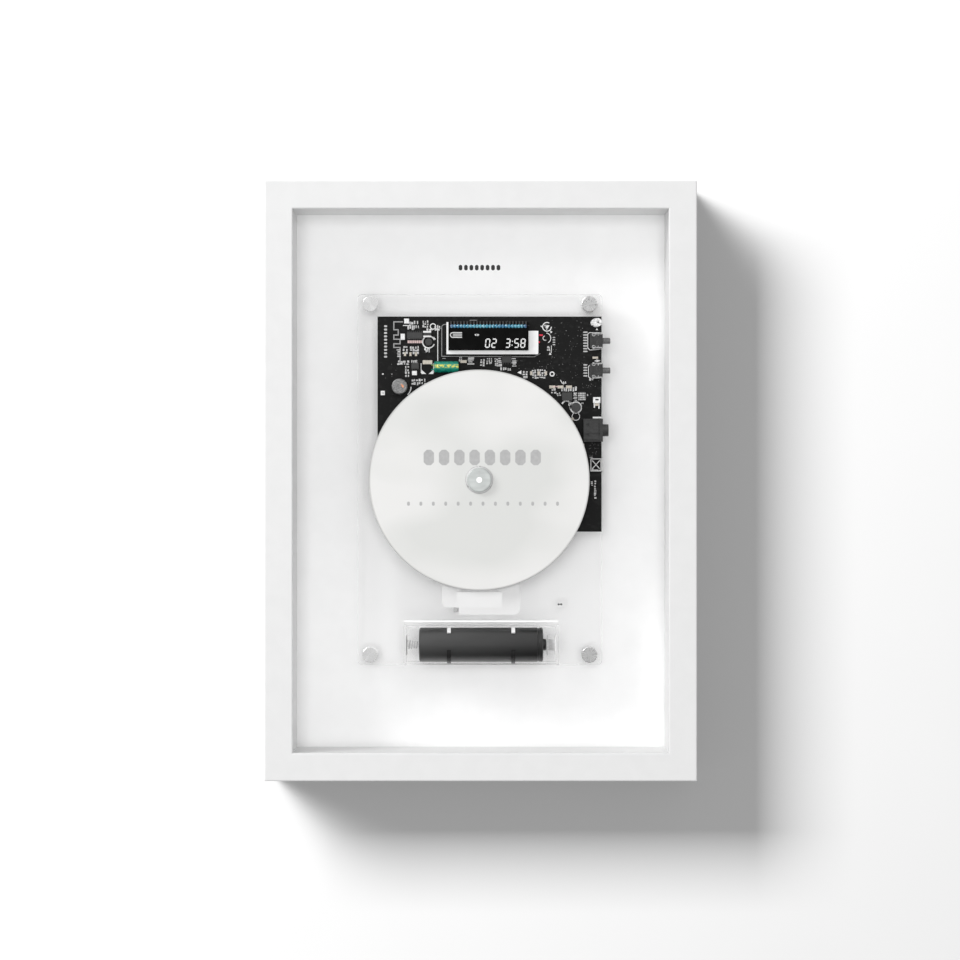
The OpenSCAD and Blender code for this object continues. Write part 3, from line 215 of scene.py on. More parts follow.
def plain(name, color, roughness, speck_mm=1.5, spread=0.06, depth_mm=0.01, **sockets):
    """Moulded or painted surface: slight mottling, uneven gloss and a fine relief."""
    mat = new_material(name, color, roughness, **sockets)
    value = noise(mat, speck_mm)
    mottle(mat, value, tuple(c * (1 - spread) for c in color),
           tuple(min(1.0, c * (1 + spread)) for c in color))
    vary_roughness(mat, noise(mat, speck_mm * 4), roughness * 0.85, min(1.0, roughness * 1.15))
    relief(mat, noise(mat, speck_mm * 0.4), depth_mm)
    return mat


def brushed(name, color, roughness, stretch):
    """Metal with fine lines along the axis that stretch leaves small."""
    mat = new_material(name, color, roughness, metallic=1.0)
    lines = noise(mat, 0.6, detail=4.0, stretch=stretch)
    mottle(mat, lines, tuple(c * 0.9 for c in color), color)
    vary_roughness(mat, lines, roughness * 0.7, roughness * 1.3)
    relief(mat, lines, 0.006)
    return mat


def see_through(name, tint, gloss_color, ior):
    """Clear plastic in thin walls: it shows what is behind it unbent and mirrors at a slant."""
    mat = new_material(name, gloss_color, 0.08)
    mottle(mat, noise(mat, 30), tuple(c * 0.98 for c in gloss_color), gloss_color)
    clear = add_node(mat, "ShaderNodeBsdfTransparent", Color=(*tint, 1.0))
    fresnel = add_node(mat, "ShaderNodeFresnel", IOR=ior)
    mix_surface(mat, fresnel.outputs[0], clear.outputs[0], shader_of(mat).outputs[0])
    return mat


def place_along(mat, node, axis):
    """Share of the way through a node's box along one axis, from 0 to 1."""
    low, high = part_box(node)
    separate = add_node(mat, "ShaderNodeSeparateXYZ")
    link(mat, place(mat), separate.inputs["Vector"])
    share = add_node(mat, "ShaderNodeMapRange")
    share.inputs["From Min"].default_value = getattr(low, axis.lower())
    share.inputs["From Max"].default_value = getattr(high, axis.lower())
    link(mat, separate.outputs[axis], share.inputs["Value"])
    return share.outputs["Result"]


def color_steps(mat, value, steps):
    """Colour ramp through (position, colour) pairs."""
    ramp = add_node(mat, "ShaderNodeValToRGB")
    elements = ramp.color_ramp.elements
    elements[0].position, elements[0].color = steps[0][0], (*steps[0][1], 1)
    elements[1].position, elements[1].color = steps[-1][0], (*steps[-1][1], 1)
    for position, color in steps[1:-1]:
        elements.new(position).color = (*color, 1)
    link(mat, value, ramp.inputs["Fac"])
    return ramp.outputs["Color"]


def blend_colors(mat, factor, first, second, kind="MIX"):
    """Mix of two colours, each a socket or plain numbers."""
    mix = add_node(mat, "ShaderNodeMix")
    mix.data_type = "RGBA"
    mix.blend_type = kind
    feed(mat, factor, mix.inputs["Factor"])
    for socket, color in (("A", first), ("B", second)):
        feed(mat, (*color, 1) if isinstance(color, tuple) else color, mix.inputs[socket])
    return mix.outputs["Result"]


def distance_from_axis(mat, node):
    """Distance from the middle of a turning node's axis, as a share of the node's radius."""
    low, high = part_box(node)
    middle = (low + high) / 2
    flat = add_node(mat, "ShaderNodeVectorMath")
    flat.operation = "MULTIPLY"
    flat.inputs[1].default_value = (1, 0, 1)
    link(mat, place(mat), flat.inputs[0])
    distance = add_node(mat, "ShaderNodeVectorMath")
    distance.operation = "DISTANCE"
    distance.inputs[1].default_value = (middle.x, 0, middle.z)
    link(mat, flat.outputs[0], distance.inputs[0])
    share = add_node(mat, "ShaderNodeMapRange")
    share.inputs["From Max"].default_value = (high.x - low.x) / 2
    link(mat, distance.outputs["Value"], share.inputs["Value"])
    return share.outputs["Result"]


# ---------- materials of the record's slots ----------


def frame_lacquer():
    """White lacquer on wood: a soft satin with the faintest grain."""
    mat = new_material("frame_lacquer", grey(0.72), 0.42, coat=0.25, coat_roughness=0.3)
    mottle(mat, noise(mat, 9), grey(0.712), grey(0.728))
    vary_roughness(mat, noise(mat, 4), 0.36, 0.5)
    relief(mat, noise(mat, 1.4, detail=4.0), 0.012)
    return mat


def board_paint():
    """Matt white paint of the back board."""
    mat = new_material("board_paint", grey(0.93), 0.7)
    mottle(mat, noise(mat, 14), grey(0.92), grey(0.94))
    relief(mat, noise(mat, 0.8, detail=5.0), 0.02)
    return mat


def turned_aluminium():
    """Turned caps: fine circles round each cap's middle, with a painted sheen in streaks that run
    outwards.
    """
    color, roughness, cap_r = grey(0.84), 0.24, 4.4 * MM
    mat = new_material("turned_aluminium", color, roughness, metallic=1.0, anisotropic=0.85)
    low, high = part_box("standoff_caps")
    separate = add_node(mat, "ShaderNodeSeparateXYZ")
    link(mat, place(mat), separate.inputs["Vector"])

    def nearest(axis, first, last):
        """Distance along one axis to the closest of two rows of caps."""
        shift = calculate(mat, "SUBTRACT", separate.outputs[axis], (first + last) / 2)
        return calculate(mat, "SUBTRACT", calculate(mat, "ABSOLUTE", shift), (last - first) / 2)

    across = nearest("X", low.x + cap_r, high.x - cap_r)
    up = nearest("Z", low.z + cap_r, high.z - cap_r)
    sheen_streaks = add_node(mat, "ShaderNodeTexNoise", Scale=3.4, Detail=5.0, Roughness=0.7)
    sheen_streaks.noise_dimensions = "1D"
    link(mat, calculate(mat, "ARCTAN2", up, across), sheen_streaks.inputs["W"])
    # Painted sheen: the streaks darken and lighten the caps' colour by angle round each middle
    ramp = mottle(mat, sheen_streaks.outputs["Fac"], tuple(c * 0.72 for c in color), color, 0.36, 0.6)
    pits = color_steps(mat, noise(mat, 1.1, detail=4.0), [(0.34, grey(0.66)), (0.42, grey(1.0))])
    sheen_and_wear = blend_colors(mat, 1.0, ramp.outputs["Color"], pits, "MULTIPLY")
    # Painted reflection: the two caps at the left are painted paler, as if they mirrored the lamp
    painted_lamp_reflection = color_steps(mat, place_along(mat, "standoff_caps", "X"),
                       [(0.4, grey(0.9)), (0.6, grey(0.0))])
    paint(mat, blend_colors(mat, painted_lamp_reflection, sheen_and_wear, grey(0.98)))
    vary_roughness(mat, sheen_streaks.outputs["Fac"], roughness * 0.6, roughness * 1.6)
    tangent = add_node(mat, "ShaderNodeCombineXYZ")
    link(mat, calculate(mat, "MULTIPLY", up, -1.0), tangent.inputs["X"])
    link(mat, across, tangent.inputs["Z"])
    link(mat, tangent.outputs[0], shader_of(mat).inputs["Tangent"])
    return mat


def solder_mask():
    """Black solder mask with the copper of the tracks showing faintly under it."""
    mat = new_material("solder_mask", grey(0.01), 0.42, specular=0.14)
    cells = add_node(mat, "ShaderNodeTexVoronoi", Scale=1000.0 / 2.6)
    cells.distance = "CHEBYCHEV"
    cells.feature = "F2"
    link(mat, stretched_place(mat, (1.0, 1.0, 1.7)), cells.inputs["Vector"])
    ramp = mottle(mat, cells.outputs["Distance"], grey(0.013), grey(0.008), 0.45, 0.5)
    ramp.color_ramp.interpolation = "EASE"
    relief(mat, cells.outputs["Distance"], 0.01, 0.4)
    return mat


def display_black():
    """The display's black glass."""
    mat = new_material("display_black", grey(0.003), 0.08, specular=0.06)
    mottle(mat, noise(mat, 6), grey(0.002), grey(0.004))
    return mat


def sleeve_with_painted_glare():
    """Teal shrink sleeve with a painted gold glare in patches along its front, and painted shade towards
    its upper and lower edges.
    """
    mat = new_material("teal_sleeve", (0.0, 0.24, 0.2), 0.25, coat=0.4, coat_roughness=0.1)
    edge_shade, teal, glare_gold = (0.0, 0.1, 0.08), (0.0, 0.2, 0.14), (0.62, 0.6, 0.1)
    # Painted light across the lying sleeve: shade at its upper and lower edges, gold glare along its
    # middle
    painted_light_bands = color_steps(mat, place_along(mat, "lying_capacitor", "Z"),
                        [(0.0, edge_shade), (0.36, teal), (0.46, glare_gold),
                         (0.66, glare_gold), (0.74, teal), (1.0, edge_shade)])
    highlight_patches = color_steps(mat, noise(mat, 1.5, stretch=(0.8, 1, 1.6)),
                          [(0.44, grey(0.0)), (0.56, grey(1.0))])
    paint(mat, blend_colors(mat, highlight_patches, painted_light_bands, (0.01, 0.24, 0.16)))
    relief(mat, noise(mat, 0.7), 0.01)
    return mat


def can_metal():
    """Round aluminium can with fine scratches, on a black plastic foot."""
    mat = new_material("can_metal", grey(0.4), 0.34, metallic=0.9)
    scratches = color_steps(mat, noise(mat, 1.2, detail=5.0, stretch=(1, 0.2, 2.5)),
                            [(0.35, grey(0.2)), (0.65, grey(0.46))])
    foot = color_steps(mat, place_along(mat, "can_capacitor", "Y"),
                       [(0.74, grey(1.0)), (0.76, grey(0.06))])
    paint(mat, blend_colors(mat, 1.0, scratches, foot, "MULTIPLY"))
    vary_roughness(mat, noise(mat, 0.8), 0.24, 0.46)
    relief(mat, noise(mat, 0.5, detail=4.0), 0.01)
    return mat


def disc_print():
    """White printing ink with painted reflections in slow clouds over it, inside a narrow grey rim of
    bare plastic.
    """
    mat = new_material("disc_print", (0.67, 0.67, 0.655), 0.32, coat=0.3, coat_roughness=0.12)
    # Painted reflections: slow paler and darker clouds in the ink's colour
    reflection_clouds = mottle(mat, noise(mat, 52, detail=1.5, stretch=(0.8, 1, 1.3)),
                    (0.635, 0.64, 0.625), (0.725, 0.722, 0.712), 0.4, 0.6)
    rings = color_steps(mat, distance_from_axis(mat, "disc"),
                        [(0.984, grey(1.0)), (0.989, grey(0.82)), (0.999, grey(0.62))])
    paint(mat, blend_colors(mat, 1.0, reflection_clouds.outputs["Color"], rings, "MULTIPLY"))
    vary_roughness(mat, noise(mat, 30, detail=1.0), 0.24, 0.4)
    relief(mat, noise(mat, 0.5), 0.002)
    return mat


def hub_plastic():
    """Milky plastic of the hub, with painted shade that darkens it towards its rim."""
    mat = new_material("hub_plastic", (0.52, 0.55, 0.535), 0.22, coat=0.4, coat_roughness=0.1)
    # Painted shade: a little darker in the middle and darkest at the rim
    radial_shade = color_steps(mat, distance_from_axis(mat, "hub_cap"),
                         [(0.3, (0.51, 0.535, 0.525)), (0.8, (0.56, 0.585, 0.575)),
                          (1.0, (0.47, 0.5, 0.485))])
    streak = color_steps(mat, noise(mat, 9, stretch=(0.5, 1, 1.6)),
                         [(0.42, grey(0.84)), (0.58, grey(1.0))])
    paint(mat, blend_colors(mat, 1.0, radial_shade, streak, "MULTIPLY"))
    relief(mat, noise(mat, 2.0), 0.02)
    return mat


def bead_glue():
    """Blue sealing beads that turn dark towards both ends of the row, with painted pale highlights in
    patches.
    """
    mat = new_material("bead_glue", (0.03, 0.3, 0.42), 0.16, coat=0.9, coat_roughness=0.08)
    ends, deep, bright = (0.004, 0.016, 0.1), (0.015, 0.13, 0.26), (0.04, 0.28, 0.38)
    row = color_steps(mat, place_along(mat, "lcd_pins", "X"),
                      [(0.0, ends), (0.04, deep), (0.4, bright),
                       (0.7, deep), (0.9, bright), (1.0, ends)])
    # Painted highlights: pale patches over the beads
    highlight_patches = color_steps(mat, noise(mat, 0.9), [(0.5, grey(0.0)), (0.62, grey(0.6))])
    paint(mat, blend_colors(mat, highlight_patches, row, (0.35, 0.55, 0.62)))
    relief(mat, noise(mat, 0.6), 0.02)
    return mat


def battery_film():
    """Black shrink film with painted light, paler at the left and darker towards the right, and slow
    creases along the cell.
    """
    mat = new_material("battery_film", grey(0.02), 0.3, coat=0.2, coat_roughness=0.16)
    # Painted light: the film is paler on the side towards the lamp
    painted_light_fade = color_steps(mat, place_along(mat, "battery_cell", "X"),
                       [(0.0, grey(0.05)), (0.45, grey(0.03)), (1.0, grey(0.01))])
    spots = color_steps(mat, noise(mat, 8, stretch=(0.3, 1, 1)),
                        [(0.35, grey(0.8)), (0.65, grey(1.0))])
    paint(mat, blend_colors(mat, 1.0, painted_light_fade, spots, "MULTIPLY"))
    relief(mat, noise(mat, 2.5, stretch=(0.25, 1, 1)), 0.03)
    return mat


def clip_metal():
    """Nickelled clips with a painted reflection: their lower halves are painted dark, as if they
    mirrored the dark cell.
    """
    mat = new_material("clip_metal", grey(0.85), 0.24, metallic=0.2)
    # Painted reflection: dark below, pale above
    painted_reflection_halves = color_steps(mat, place_along(mat, "battery_clips", "Z"),
                         [(0.45, grey(0.02)), (0.6, grey(0.9))])
    spots = color_steps(mat, noise(mat, 0.8), [(0.35, grey(0.9)), (0.65, grey(1.0))])
    paint(mat, blend_colors(mat, 1.0, painted_reflection_halves, spots, "MULTIPLY"))
    relief(mat, noise(mat, 0.6), 0.006)
    return mat


SLOT_MATERIALS = {
    "frame_white": frame_lacquer(),
    "board_white": board_paint(),
    "zinc_steel": brushed("zinc_steel", grey(0.62), 0.34, (1, 1, 0.25)),
    "black_steel": plain("black_steel", grey(0.03), 0.4, 0.8),
    "turned_aluminium": turned_aluminium(),
    "clear_acrylic": see_through("clear_acrylic", grey(0.992), grey(0.95), 1.22),
    "board_black": solder_mask(),
    "brass": brushed("brass", (0.7, 0.52, 0.24), 0.3, (1, 0.3, 1)),
    "white_plastic": plain("white_plastic", grey(0.84), 0.45, 2.0, 0.02),
    "display_glass": display_black(),
    "pin_glue": bead_glue(),
    "black_plastic": plain("black_plastic", grey(0.028), 0.42, 0.9, 0.2),
    "tinned_steel": brushed("tinned_steel", grey(0.7), 0.22, (1, 1, 0.3)),
    "teal_sleeve": sleeve_with_painted_glare(),
    "can_aluminium": can_metal(),
    "chip_black": plain("chip_black", grey(0.04), 0.5, 0.5, 0.15, 0.006),
    "ceramic_tan": plain("ceramic_tan", (0.5, 0.46, 0.4), 0.35, 0.6, 0.12),
    "black_rubber": plain("black_rubber", grey(0.02), 0.8, 1.0, 0.2, 0.02),
    "polished_steel": brushed("polished_steel", grey(0.75), 0.14, (1, 1, 0.1)),
    "motor_can": brushed("motor_can", grey(0.6), 0.3, (1, 0.1, 1)),
    "grey_plastic": plain("grey_plastic", grey(0.55), 0.45, 1.2, 0.04),
    "smoke_plastic": hub_plastic(),
    "disc_white": disc_print(),
    "ivory_plastic": plain("gear_plastic", (0.82, 0.79, 0.7), 0.5, 1.0, 0.03),
    "lens_glass": see_through("lens_glass", (0.72, 0.8, 0.92), (0.5, 0.6, 0.8), 1.6),
    "nickel_steel": plain("nickel_steel", grey(0.85), 0.24, 0.8, 0.1, 0.006, metallic=0.2),
    "battery_wrap": battery_film(),
}


def dress_frame():
    """Every CAD node takes the material of its slot."""
    for subpart in frame["record"]["subparts"]:
        node = nodes[subpart["node"]]
        node.data.materials.clear()
        node.data.materials.append(SLOT_MATERIALS[subpart["material_slot"]])
    nodes["mech_chassis"].data.materials[0] = plain("chassis_white", grey(0.74), 0.5, 9.0, 0.01)
    # The clear holder and the pale deck leave almost no shade on the board behind them
    for key in ("mech_chassis", "battery_holder"):
        nodes[key].visible_shadow = False
        nodes[key].visible_diffuse = False
    nodes["battery_clips"].data.materials[0] = clip_metal()
    for key in ("power_button", "function_button"):
        nodes[key].data.materials[0] = plain(key + "_plastic", grey(0.11), 0.4, 0.7, 0.35)
    # Only the beads that lie on the pins are blue
    nodes["lcd_pins"].data.materials[0] = SLOT_MATERIALS["black_plastic"]


# ---------- mesh helpers ----------


def new_object(name, data):
    """A new object in the scene."""
    thing = bpy.data.objects.new(name, data)
    bpy.context.scene.collection.objects.link(thing)
    return thing


def new_piece(name, bm, material, body=BODY, smooth=False):
    """Turns a bmesh in frame coordinates into a piece that rides on a body."""
    bmesh.ops.recalc_face_normals(bm, faces=bm.faces)
    mesh = bpy.data.meshes.new(name)
    bm.to_mesh(mesh)
    bm.free()
    mesh.materials.append(material)
    for polygon in mesh.polygons:
        polygon.use_smooth = smooth
    piece = new_object(name, mesh)
    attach(piece, body)
    return piece


def prism(bm, low, high):
    """Joins two outlines of as many points into a closed solid."""
    bottom = [bm.verts.new(p) for p in low]
    top = [bm.verts.new(p) for p in high]
    count = len(low)
    bm.faces.new(top)
    bm.faces.new(reversed(bottom))
    for i in range(count):
        j = (i + 1) % count
        bm.faces.new((bottom[i], bottom[j], top[j], top[i]))


def plate_shape(bm, face, outline, low, high):
    """A flat shape on a face, from low to high mm above it."""
    prism(bm, [face.at(x, y, low) for x, y in outline], [face.at(x, y, high) for x, y in outline])


def block(bm, face, x, y, w, h, low, high, chamfer=0.0):
    """A block centred at x, y on a face, with its top drawn in by the chamfer."""
    corners = [(-1, -1), (1, -1), (1, 1), (-1, 1)]
    base = [face.at(x + sx * w / 2, y + sy * h / 2, low) for sx, sy in corners]
    top = [face.at(x + sx * (w / 2 - chamfer), y + sy * (h / 2 - chamfer), high)
           for sx, sy in corners]
    if chamfer:
        shoulder = [face.at(x + sx * w / 2, y + sy * h / 2, high - chamfer) for sx, sy in corners]
        rings = [base, shoulder, top]
    else:
        rings = [base, top]
    loops = [[bm.verts.new(p) for p in level] for level in rings]
    bm.faces.new(loops[-1])
    bm.faces.new(reversed(loops[0]))
    for lower, upper in zip(loops, loops[1:]):
        for i in range(4):
            j = (i + 1) % 4
            bm.faces.new((lower[i], lower[j], upper[j], upper[i]))


def ribbon(bm, face, points, width, low, high):
    """Printed line of a given width through points, mitred at its corners."""
    left, right = [], []
    for i, (x, y) in enumerate(points):
        before = points[max(i - 1, 0)]
        after = points[min(i + 1, len(points) - 1)]
        first = Vector((x - before[0], y - before[1]))
        second = Vector((after[0] - x, after[1] - y))
        first = first.normalized() if first.length else second.normalized()
        second = second.normalized() if second.length else first
        along = (first + second).normalized()
        reach = width / 2 / max(0.3, along.dot(first))
        left.append((x - along.y * reach, y + along.x * reach))
        right.append((x + along.y * reach, y - along.x * reach))
    for i in range(len(points) - 1):
        plate_shape(bm, face, [left[i], left[i + 1], right[i + 1], right[i]], low, high)


def circle_points(x, y, r, start=0.0, end=360.0, steps=24):
    """Points on an arc; a whole circle ends where it starts."""
    return [(x + r * math.cos(math.radians(start + (end - start) * i / steps)),
             y + r * math.sin(math.radians(start + (end - start) * i / steps)))
            for i in range(steps + 1)]


def disc_shape(bm, face, x, y, r, low, high, steps=20):
    """A round plate on a face."""
    plate_shape(bm, face, circle_points(x, y, r, steps=steps)[:-1], low, high)


def grid(bm, face, x, y, w, h, columns, rows, low, high, fill=(0.65, 0.7), loose=0.0):
    """Blocks in rows and columns inside a rectangle centred at x, y; loose spreads places and sizes."""
    step_x, step_y = w / columns, h / rows
    for i in range(columns):
        for j in range(rows):
            shift_x, shift_y, grow_x, grow_y = (random.uniform(-loose, loose) for _ in range(4))
            block(bm, face, x - w / 2 + (i + 0.5 + shift_x / 2) * step_x,
                  y - h / 2 + (j + 0.5 + shift_y / 2) * step_y,
                  step_x * (fill[0] if columns > 1 else 1.0) * (1 + grow_x),
                  step_y * (fill[1] if rows > 1 else 1.0) * (1 + grow_y), low, high)


def ring(bm, face, x, y, r, width, low, high, start=0.0, end=360.0):
    """A printed circle or a part of one."""
    steps = max(6, int((end - start) / 18))
    ribbon(bm, face, circle_points(x, y, r, start, end, steps), width, low, high)


def bars(bm, face, x, y, count, pitch, w, h, low, high, down=False):
    """A row of plain bars with cut corners where the photographed object carries words."""
    cut = min(w, h) * 0.3
    for i in range(count):
        shift = (i - (count - 1) / 2) * pitch
        cx, cy = (x, y + shift) if down else (x + shift, y)
        outline = [(cx + sx * (w / 2 - cut * (turn if sx == sy else 1 - turn)),
                    cy + sy * (h / 2 - cut * ((1 - turn) if sx == sy else turn)))
                   for sx, sy in ((-1, -1), (1, -1), (1, 1), (-1, 1)) for turn in (0, 1)]
        plate_shape(bm, face, outline, low, high)


# ---------- display ----------

SEGMENTS = {"0": "abcdef", "2": "abged", "3": "abgcd", "5": "afgcd", "8": "abcdefg"}
# A digit's width, height, stroke and lean, and the print's lower and upper level on the glass
DIGIT_W, DIGIT_H, STROKE, LEAN = 2.75, 5.1, 0.62, 0.1
PRINT = (0.01, 0.04)


def digit(bm, char, right, bottom):
    """One leaning seven segment digit; right and bottom place its lower left corner."""
    gap, mid, edge = 0.07, DIGIT_H / 2, STROKE / 2
    far, top = DIGIT_W - edge, DIGIT_H - edge

    def bar(x0, y0, x1, y1):
        """A segment with pointed ends between two corners."""
        along = Vector((x1 - x0, y1 - y0))
        length = along.length
        along.normalize()
        side = Vector((-along.y, along.x)) * edge
        start, end = Vector((x0, y0)) + along * gap, Vector((x0, y0)) + along * (length - gap)
        inset = along * edge
        outline = [start, start + inset + side, end - inset + side, end,
                   end - inset - side, start + inset - side]
        placed = [(right + p.x + p.y * LEAN, display.height - bottom - p.y) for p in outline]
        plate_shape(bm, display, placed, *PRINT)

    corners = {"a": (edge, top, far, top), "b": (far, top, far, mid), "c": (far, mid, far, edge),
               "d": (far, edge, edge, edge), "e": (edge, edge, edge, mid),
               "f": (edge, mid, edge, top), "g": (edge, mid, far, mid)}
    for segment in SEGMENTS[char]:
        bar(*corners[segment])


def make_display():
    """Track and time in plain numbers, a battery sign and a small arrow pair."""
    lit = new_material("display_lit", grey(0.68), 0.5, emission=0.06)
    mottle(lit, noise(lit, 0.6), grey(0.62), grey(0.74))
    shader_of(lit).inputs["Emission Color"].default_value = (1, 1, 1, 1)
    bm = bmesh.new()
    base, pitch, dot = 1.35, 3.45, 0.55
    track_x, minutes_x, colon_x, seconds_x = 19.75, 30.75, 34.5, 35.5
    for i, char in enumerate("02"):
        digit(bm, char, track_x + i * pitch, base)
    digit(bm, "3", minutes_x, base)
    for i, char in enumerate("58"):
        digit(bm, char, seconds_x + i * pitch, base)
    for up in (1.5, 3.5):
        block(bm, display, colon_x + up * LEAN, display.height - base - up, dot, dot, *PRINT)
    new_piece("display_digits", bm, lit)

    bm = bmesh.new()
    left, top, w, h, r = 1.2, 5.85, 6.2, 2.6, 1.2
    outline = ([(left + w, top)] +
               circle_points(left + r, top + h / 2, h / 2, 270, 90, 10) + [(left + w, top + h)])
    ribbon(bm, display, outline, 0.5, *PRINT)
    for step in (-0.55, 0.0, 0.55):
        level = top + h / 2 + step
        ribbon(bm, display, [(left + r, level), (left + w, level)], 0.3, *PRINT)
    for side in (-1, 1):
        x = 15.5 + side * 0.85
        arrow = [(x - side * 0.6, 6.4), (x + side * 0.55, 7.1), (x - side * 0.6, 7.8)]
        plate_shape(bm, display, arrow, *PRINT)
    dim = plain("display_dim", grey(0.6), 0.5, 0.6)
    new_piece("display_signs", bm, dim)


def make_beads():
    """Rounded sealing beads over the display's pins."""
    bm = bmesh.new()
    low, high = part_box("lcd_pins")
    count, height, down = 24, 2.1 * MM, 2.75 * MM
    pitch = (high.x - low.x) / count
    for i in range(count):
        scale = Matrix.Diagonal((pitch * 0.56, 0.6 * MM, height / 2, 1))
        middle = Matrix.Translation((low.x + (i + 0.5) * pitch, low.y, high.z - down))
        bmesh.ops.create_uvsphere(bm, u_segments=10, v_segments=8, radius=1.0, matrix=middle @ scale)
    new_piece("display_beads", bm, SLOT_MATERIALS["pin_glue"], smooth=True)


# ---------- circuit board ----------
# Places are in mm, right of and below the board's top left corner.

ANTENNA = [(14.0, 2.9), (8.9, 2.9), (8.9, 7.2), (11.3, 7.2), (11.3, 10.1), (8.9, 10.1), (8.9, 12.4),
           (12.3, 12.4), (12.3, 14.9), (8.9, 14.9), (8.9, 16.9), (12.3, 16.9), (12.3, 24.4)]

# Width, then points
PRINTED_LINES = [
    (0.4, [(32.9, 4.6), (32.9, 24.3)]),
    (0.35, [(122.6, 8.8), (115.8, 8.8), (114.9, 9.6), (114.9, 17.0), (116.0, 18.3), (122.6, 17.8)]),
    (0.35, [(122.6, 26.2), (116.6, 26.2), (115.3, 27.2), (115.3, 32.8), (116.6, 34.1), (122.6, 33.3)]),
    (0.9, [(117.6, 55.2), (122.4, 55.2)]),
    (0.4, [(116.6, 77.8), (122.1, 77.8), (122.1, 84.4), (116.6, 84.4), (116.6, 77.8)]),
    (0.4, [(117.4, 78.7), (121.4, 83.2)]),
    (0.4, [(121.4, 78.7), (117.4, 83.2)]),
    (0.35, [(24.6, 24.7), (29.8, 24.7)]),
    (0.35, [(23.8, 25.6), (23.8, 30.8)]),
    (0.35, [(30.6, 25.6), (30.6, 30.8)]),
    (0.4, [(13.9, 4.9), (18.4, 4.9)]),
    (0.3, [(16.6, 12.0), (18.0, 12.0)]),
    (0.3, [(93.2, 16.2), (94.4, 19.0)]),
    (0.3, [(95.0, 15.8), (95.0, 20.0)]),
    (0.35, [(99.9, 34.6), (100.9, 36.4), (103.2, 36.4)])]
GREY_LINES = [
    (0.3, [(39.4, 4.3), (36.2, 4.3), (35.1, 5.3), (35.1, 21.7), (85.6, 22.0), (89.0, 20.2)]),
    (0.3, [(35.1, 6.4), (33.9, 6.4)]),
    (0.3, [(50.4, 2.0), (54.4, 2.0)]),
    (0.3, [(76.0, 3.4), (80.6, 3.4), (82.6, 5.0)]),
    (0.3, [(35.4, 22.9), (37.2, 22.9)])]

# Middle, radius, width of the line, start and end in degrees
PRINTED_RINGS = [
    (27.9, 13.9, 3.3, 0.6, 20, 340), (27.9, 13.9, 1.3, 0.5, 0, 360), (30.3, 5.4, 1.5, 0.5, 0, 360),
    (92.6, 5.6, 2.4, 0.5, 0, 300), (92.6, 5.6, 0.9, 0.4, 90, 270), (91.8, 11.8, 2.9, 0.4, -80, 60),
    (91.6, 11.8, 1.2, 0.4, 60, 260), (103.2, 48.6, 2.5, 0.9, -160, 40), (108.4, 49.7, 2.9, 0.9, 0, 360),
    (108.4, 54.6, 2.1, 0.35, 0, 360), (12.2, 38.4, 6.1, 0.6, 0, 46), (95.4, 31.4, 1.1, 0.6, 0, 360),
    (2.9, 31.4, 0.3, 0.3, 0, 360), (105.5, 48.0, 1.0, 0.4, 0, 360)]

PRINTED_TRIANGLES = [
    [(27.9, 12.7), (26.9, 14.8), (28.9, 14.8)], [(24.0, 31.4), (26.6, 31.4), (24.0, 29.0)],
    [(30.5, 31.4), (27.9, 31.4), (30.5, 29.0)], [(76.4, 30.6), (78.6, 29.4), (78.6, 31.6)],
    [(93.6, 20.9), (94.3, 19.4), (95.0, 20.9)], [(122.0, 24.1), (119.6, 23.4), (119.6, 25.0)],
    [(119.9, 6.3), (119.2, 7.4), (120.6, 7.4)], [(91.0, 4.4), (94.0, 4.9), (92.4, 7.4)],
    [(88.9, 5.2), (90.2, 4.9), (90.0, 6.0)], [(94.4, 7.6), (95.6, 8.4), (94.6, 9.2)],
    [(25.9, 16.6), (27.0, 18.9), (25.4, 18.2)], [(30.6, 11.0), (31.9, 12.4), (30.9, 12.9)]]

# Middle, size, columns and rows of bare solder pads
PADS = [
    (11.6, 20.0, 1.9, 4.2, 1, 5), (15.2, 18.4, 3.0, 4.6, 2, 3), (20.3, 18.4, 5.4, 4.4, 4, 3),
    (19.7, 3.4, 5.6, 1.8, 4, 1), (19.6, 5.9, 6.6, 2.0, 6, 1), (26.2, 4.2, 3.4, 3.8, 3, 3),
    (28.6, 7.2, 3.8, 1.0, 3, 1), (32.6, 6.4, 3.2, 2.6, 3, 2), (14.0, 25.2, 6.6, 2.6, 4, 2),
    (16.2, 30.0, 2.6, 6.0, 2, 4), (20.1, 24.6, 3.4, 1.4, 4, 1), (22.4, 35.6, 8.0, 3.4, 6, 2),
    (27.5, 18.4, 2.6, 2.4, 3, 2), (51.2, 24.4, 3.2, 4.2, 1, 4), (57.4, 25.2, 2.6, 4.0, 2, 3),
    (61.2, 24.3, 3.4, 3.4, 3, 3), (64.9, 25.0, 2.0, 4.4, 2, 4), (66.9, 25.1, 1.8, 5.0, 1, 5),
    (74.6, 25.1, 2.2, 5.0, 1, 5), (70.0, 28.7, 5.8, 1.5, 5, 1), (80.9, 31.6, 3.2, 4.6, 2, 3),
    (88.2, 31.4, 7.6, 5.2, 6, 4), (93.4, 17.6, 1.8, 2.2, 2, 2), (45.4, 23.4, 1.9, 2.6, 2, 3),
    (104.4, 39.6, 8.8, 2.9, 7, 1), (102.2, 36.2, 2.0, 1.2, 2, 1), (96.2, 40.6, 3.0, 3.0, 2, 2),
    (99.0, 42.6, 2.4, 2.2, 2, 2), (108.2, 43.7, 1.6, 4.6, 1, 6), (111.9, 47.4, 1.8, 0.7, 2, 1),
    (119.2, 24.2, 1.0, 1.2, 1, 1), (116.9, 34.4, 2.4, 0.9, 2, 1), (119.4, 84.0, 5.4, 1.0, 4, 1),
    (114.9, 42.9, 0.7, 0.7, 1, 1), (7.8, 31.4, 0.6, 0.6, 1, 1), (117.2, 91.2, 0.9, 2.6, 1, 3),
    (118.9, 94.6, 0.9, 10.2, 1, 8), (116.6, 77.0, 1.8, 0.5, 2, 1)]

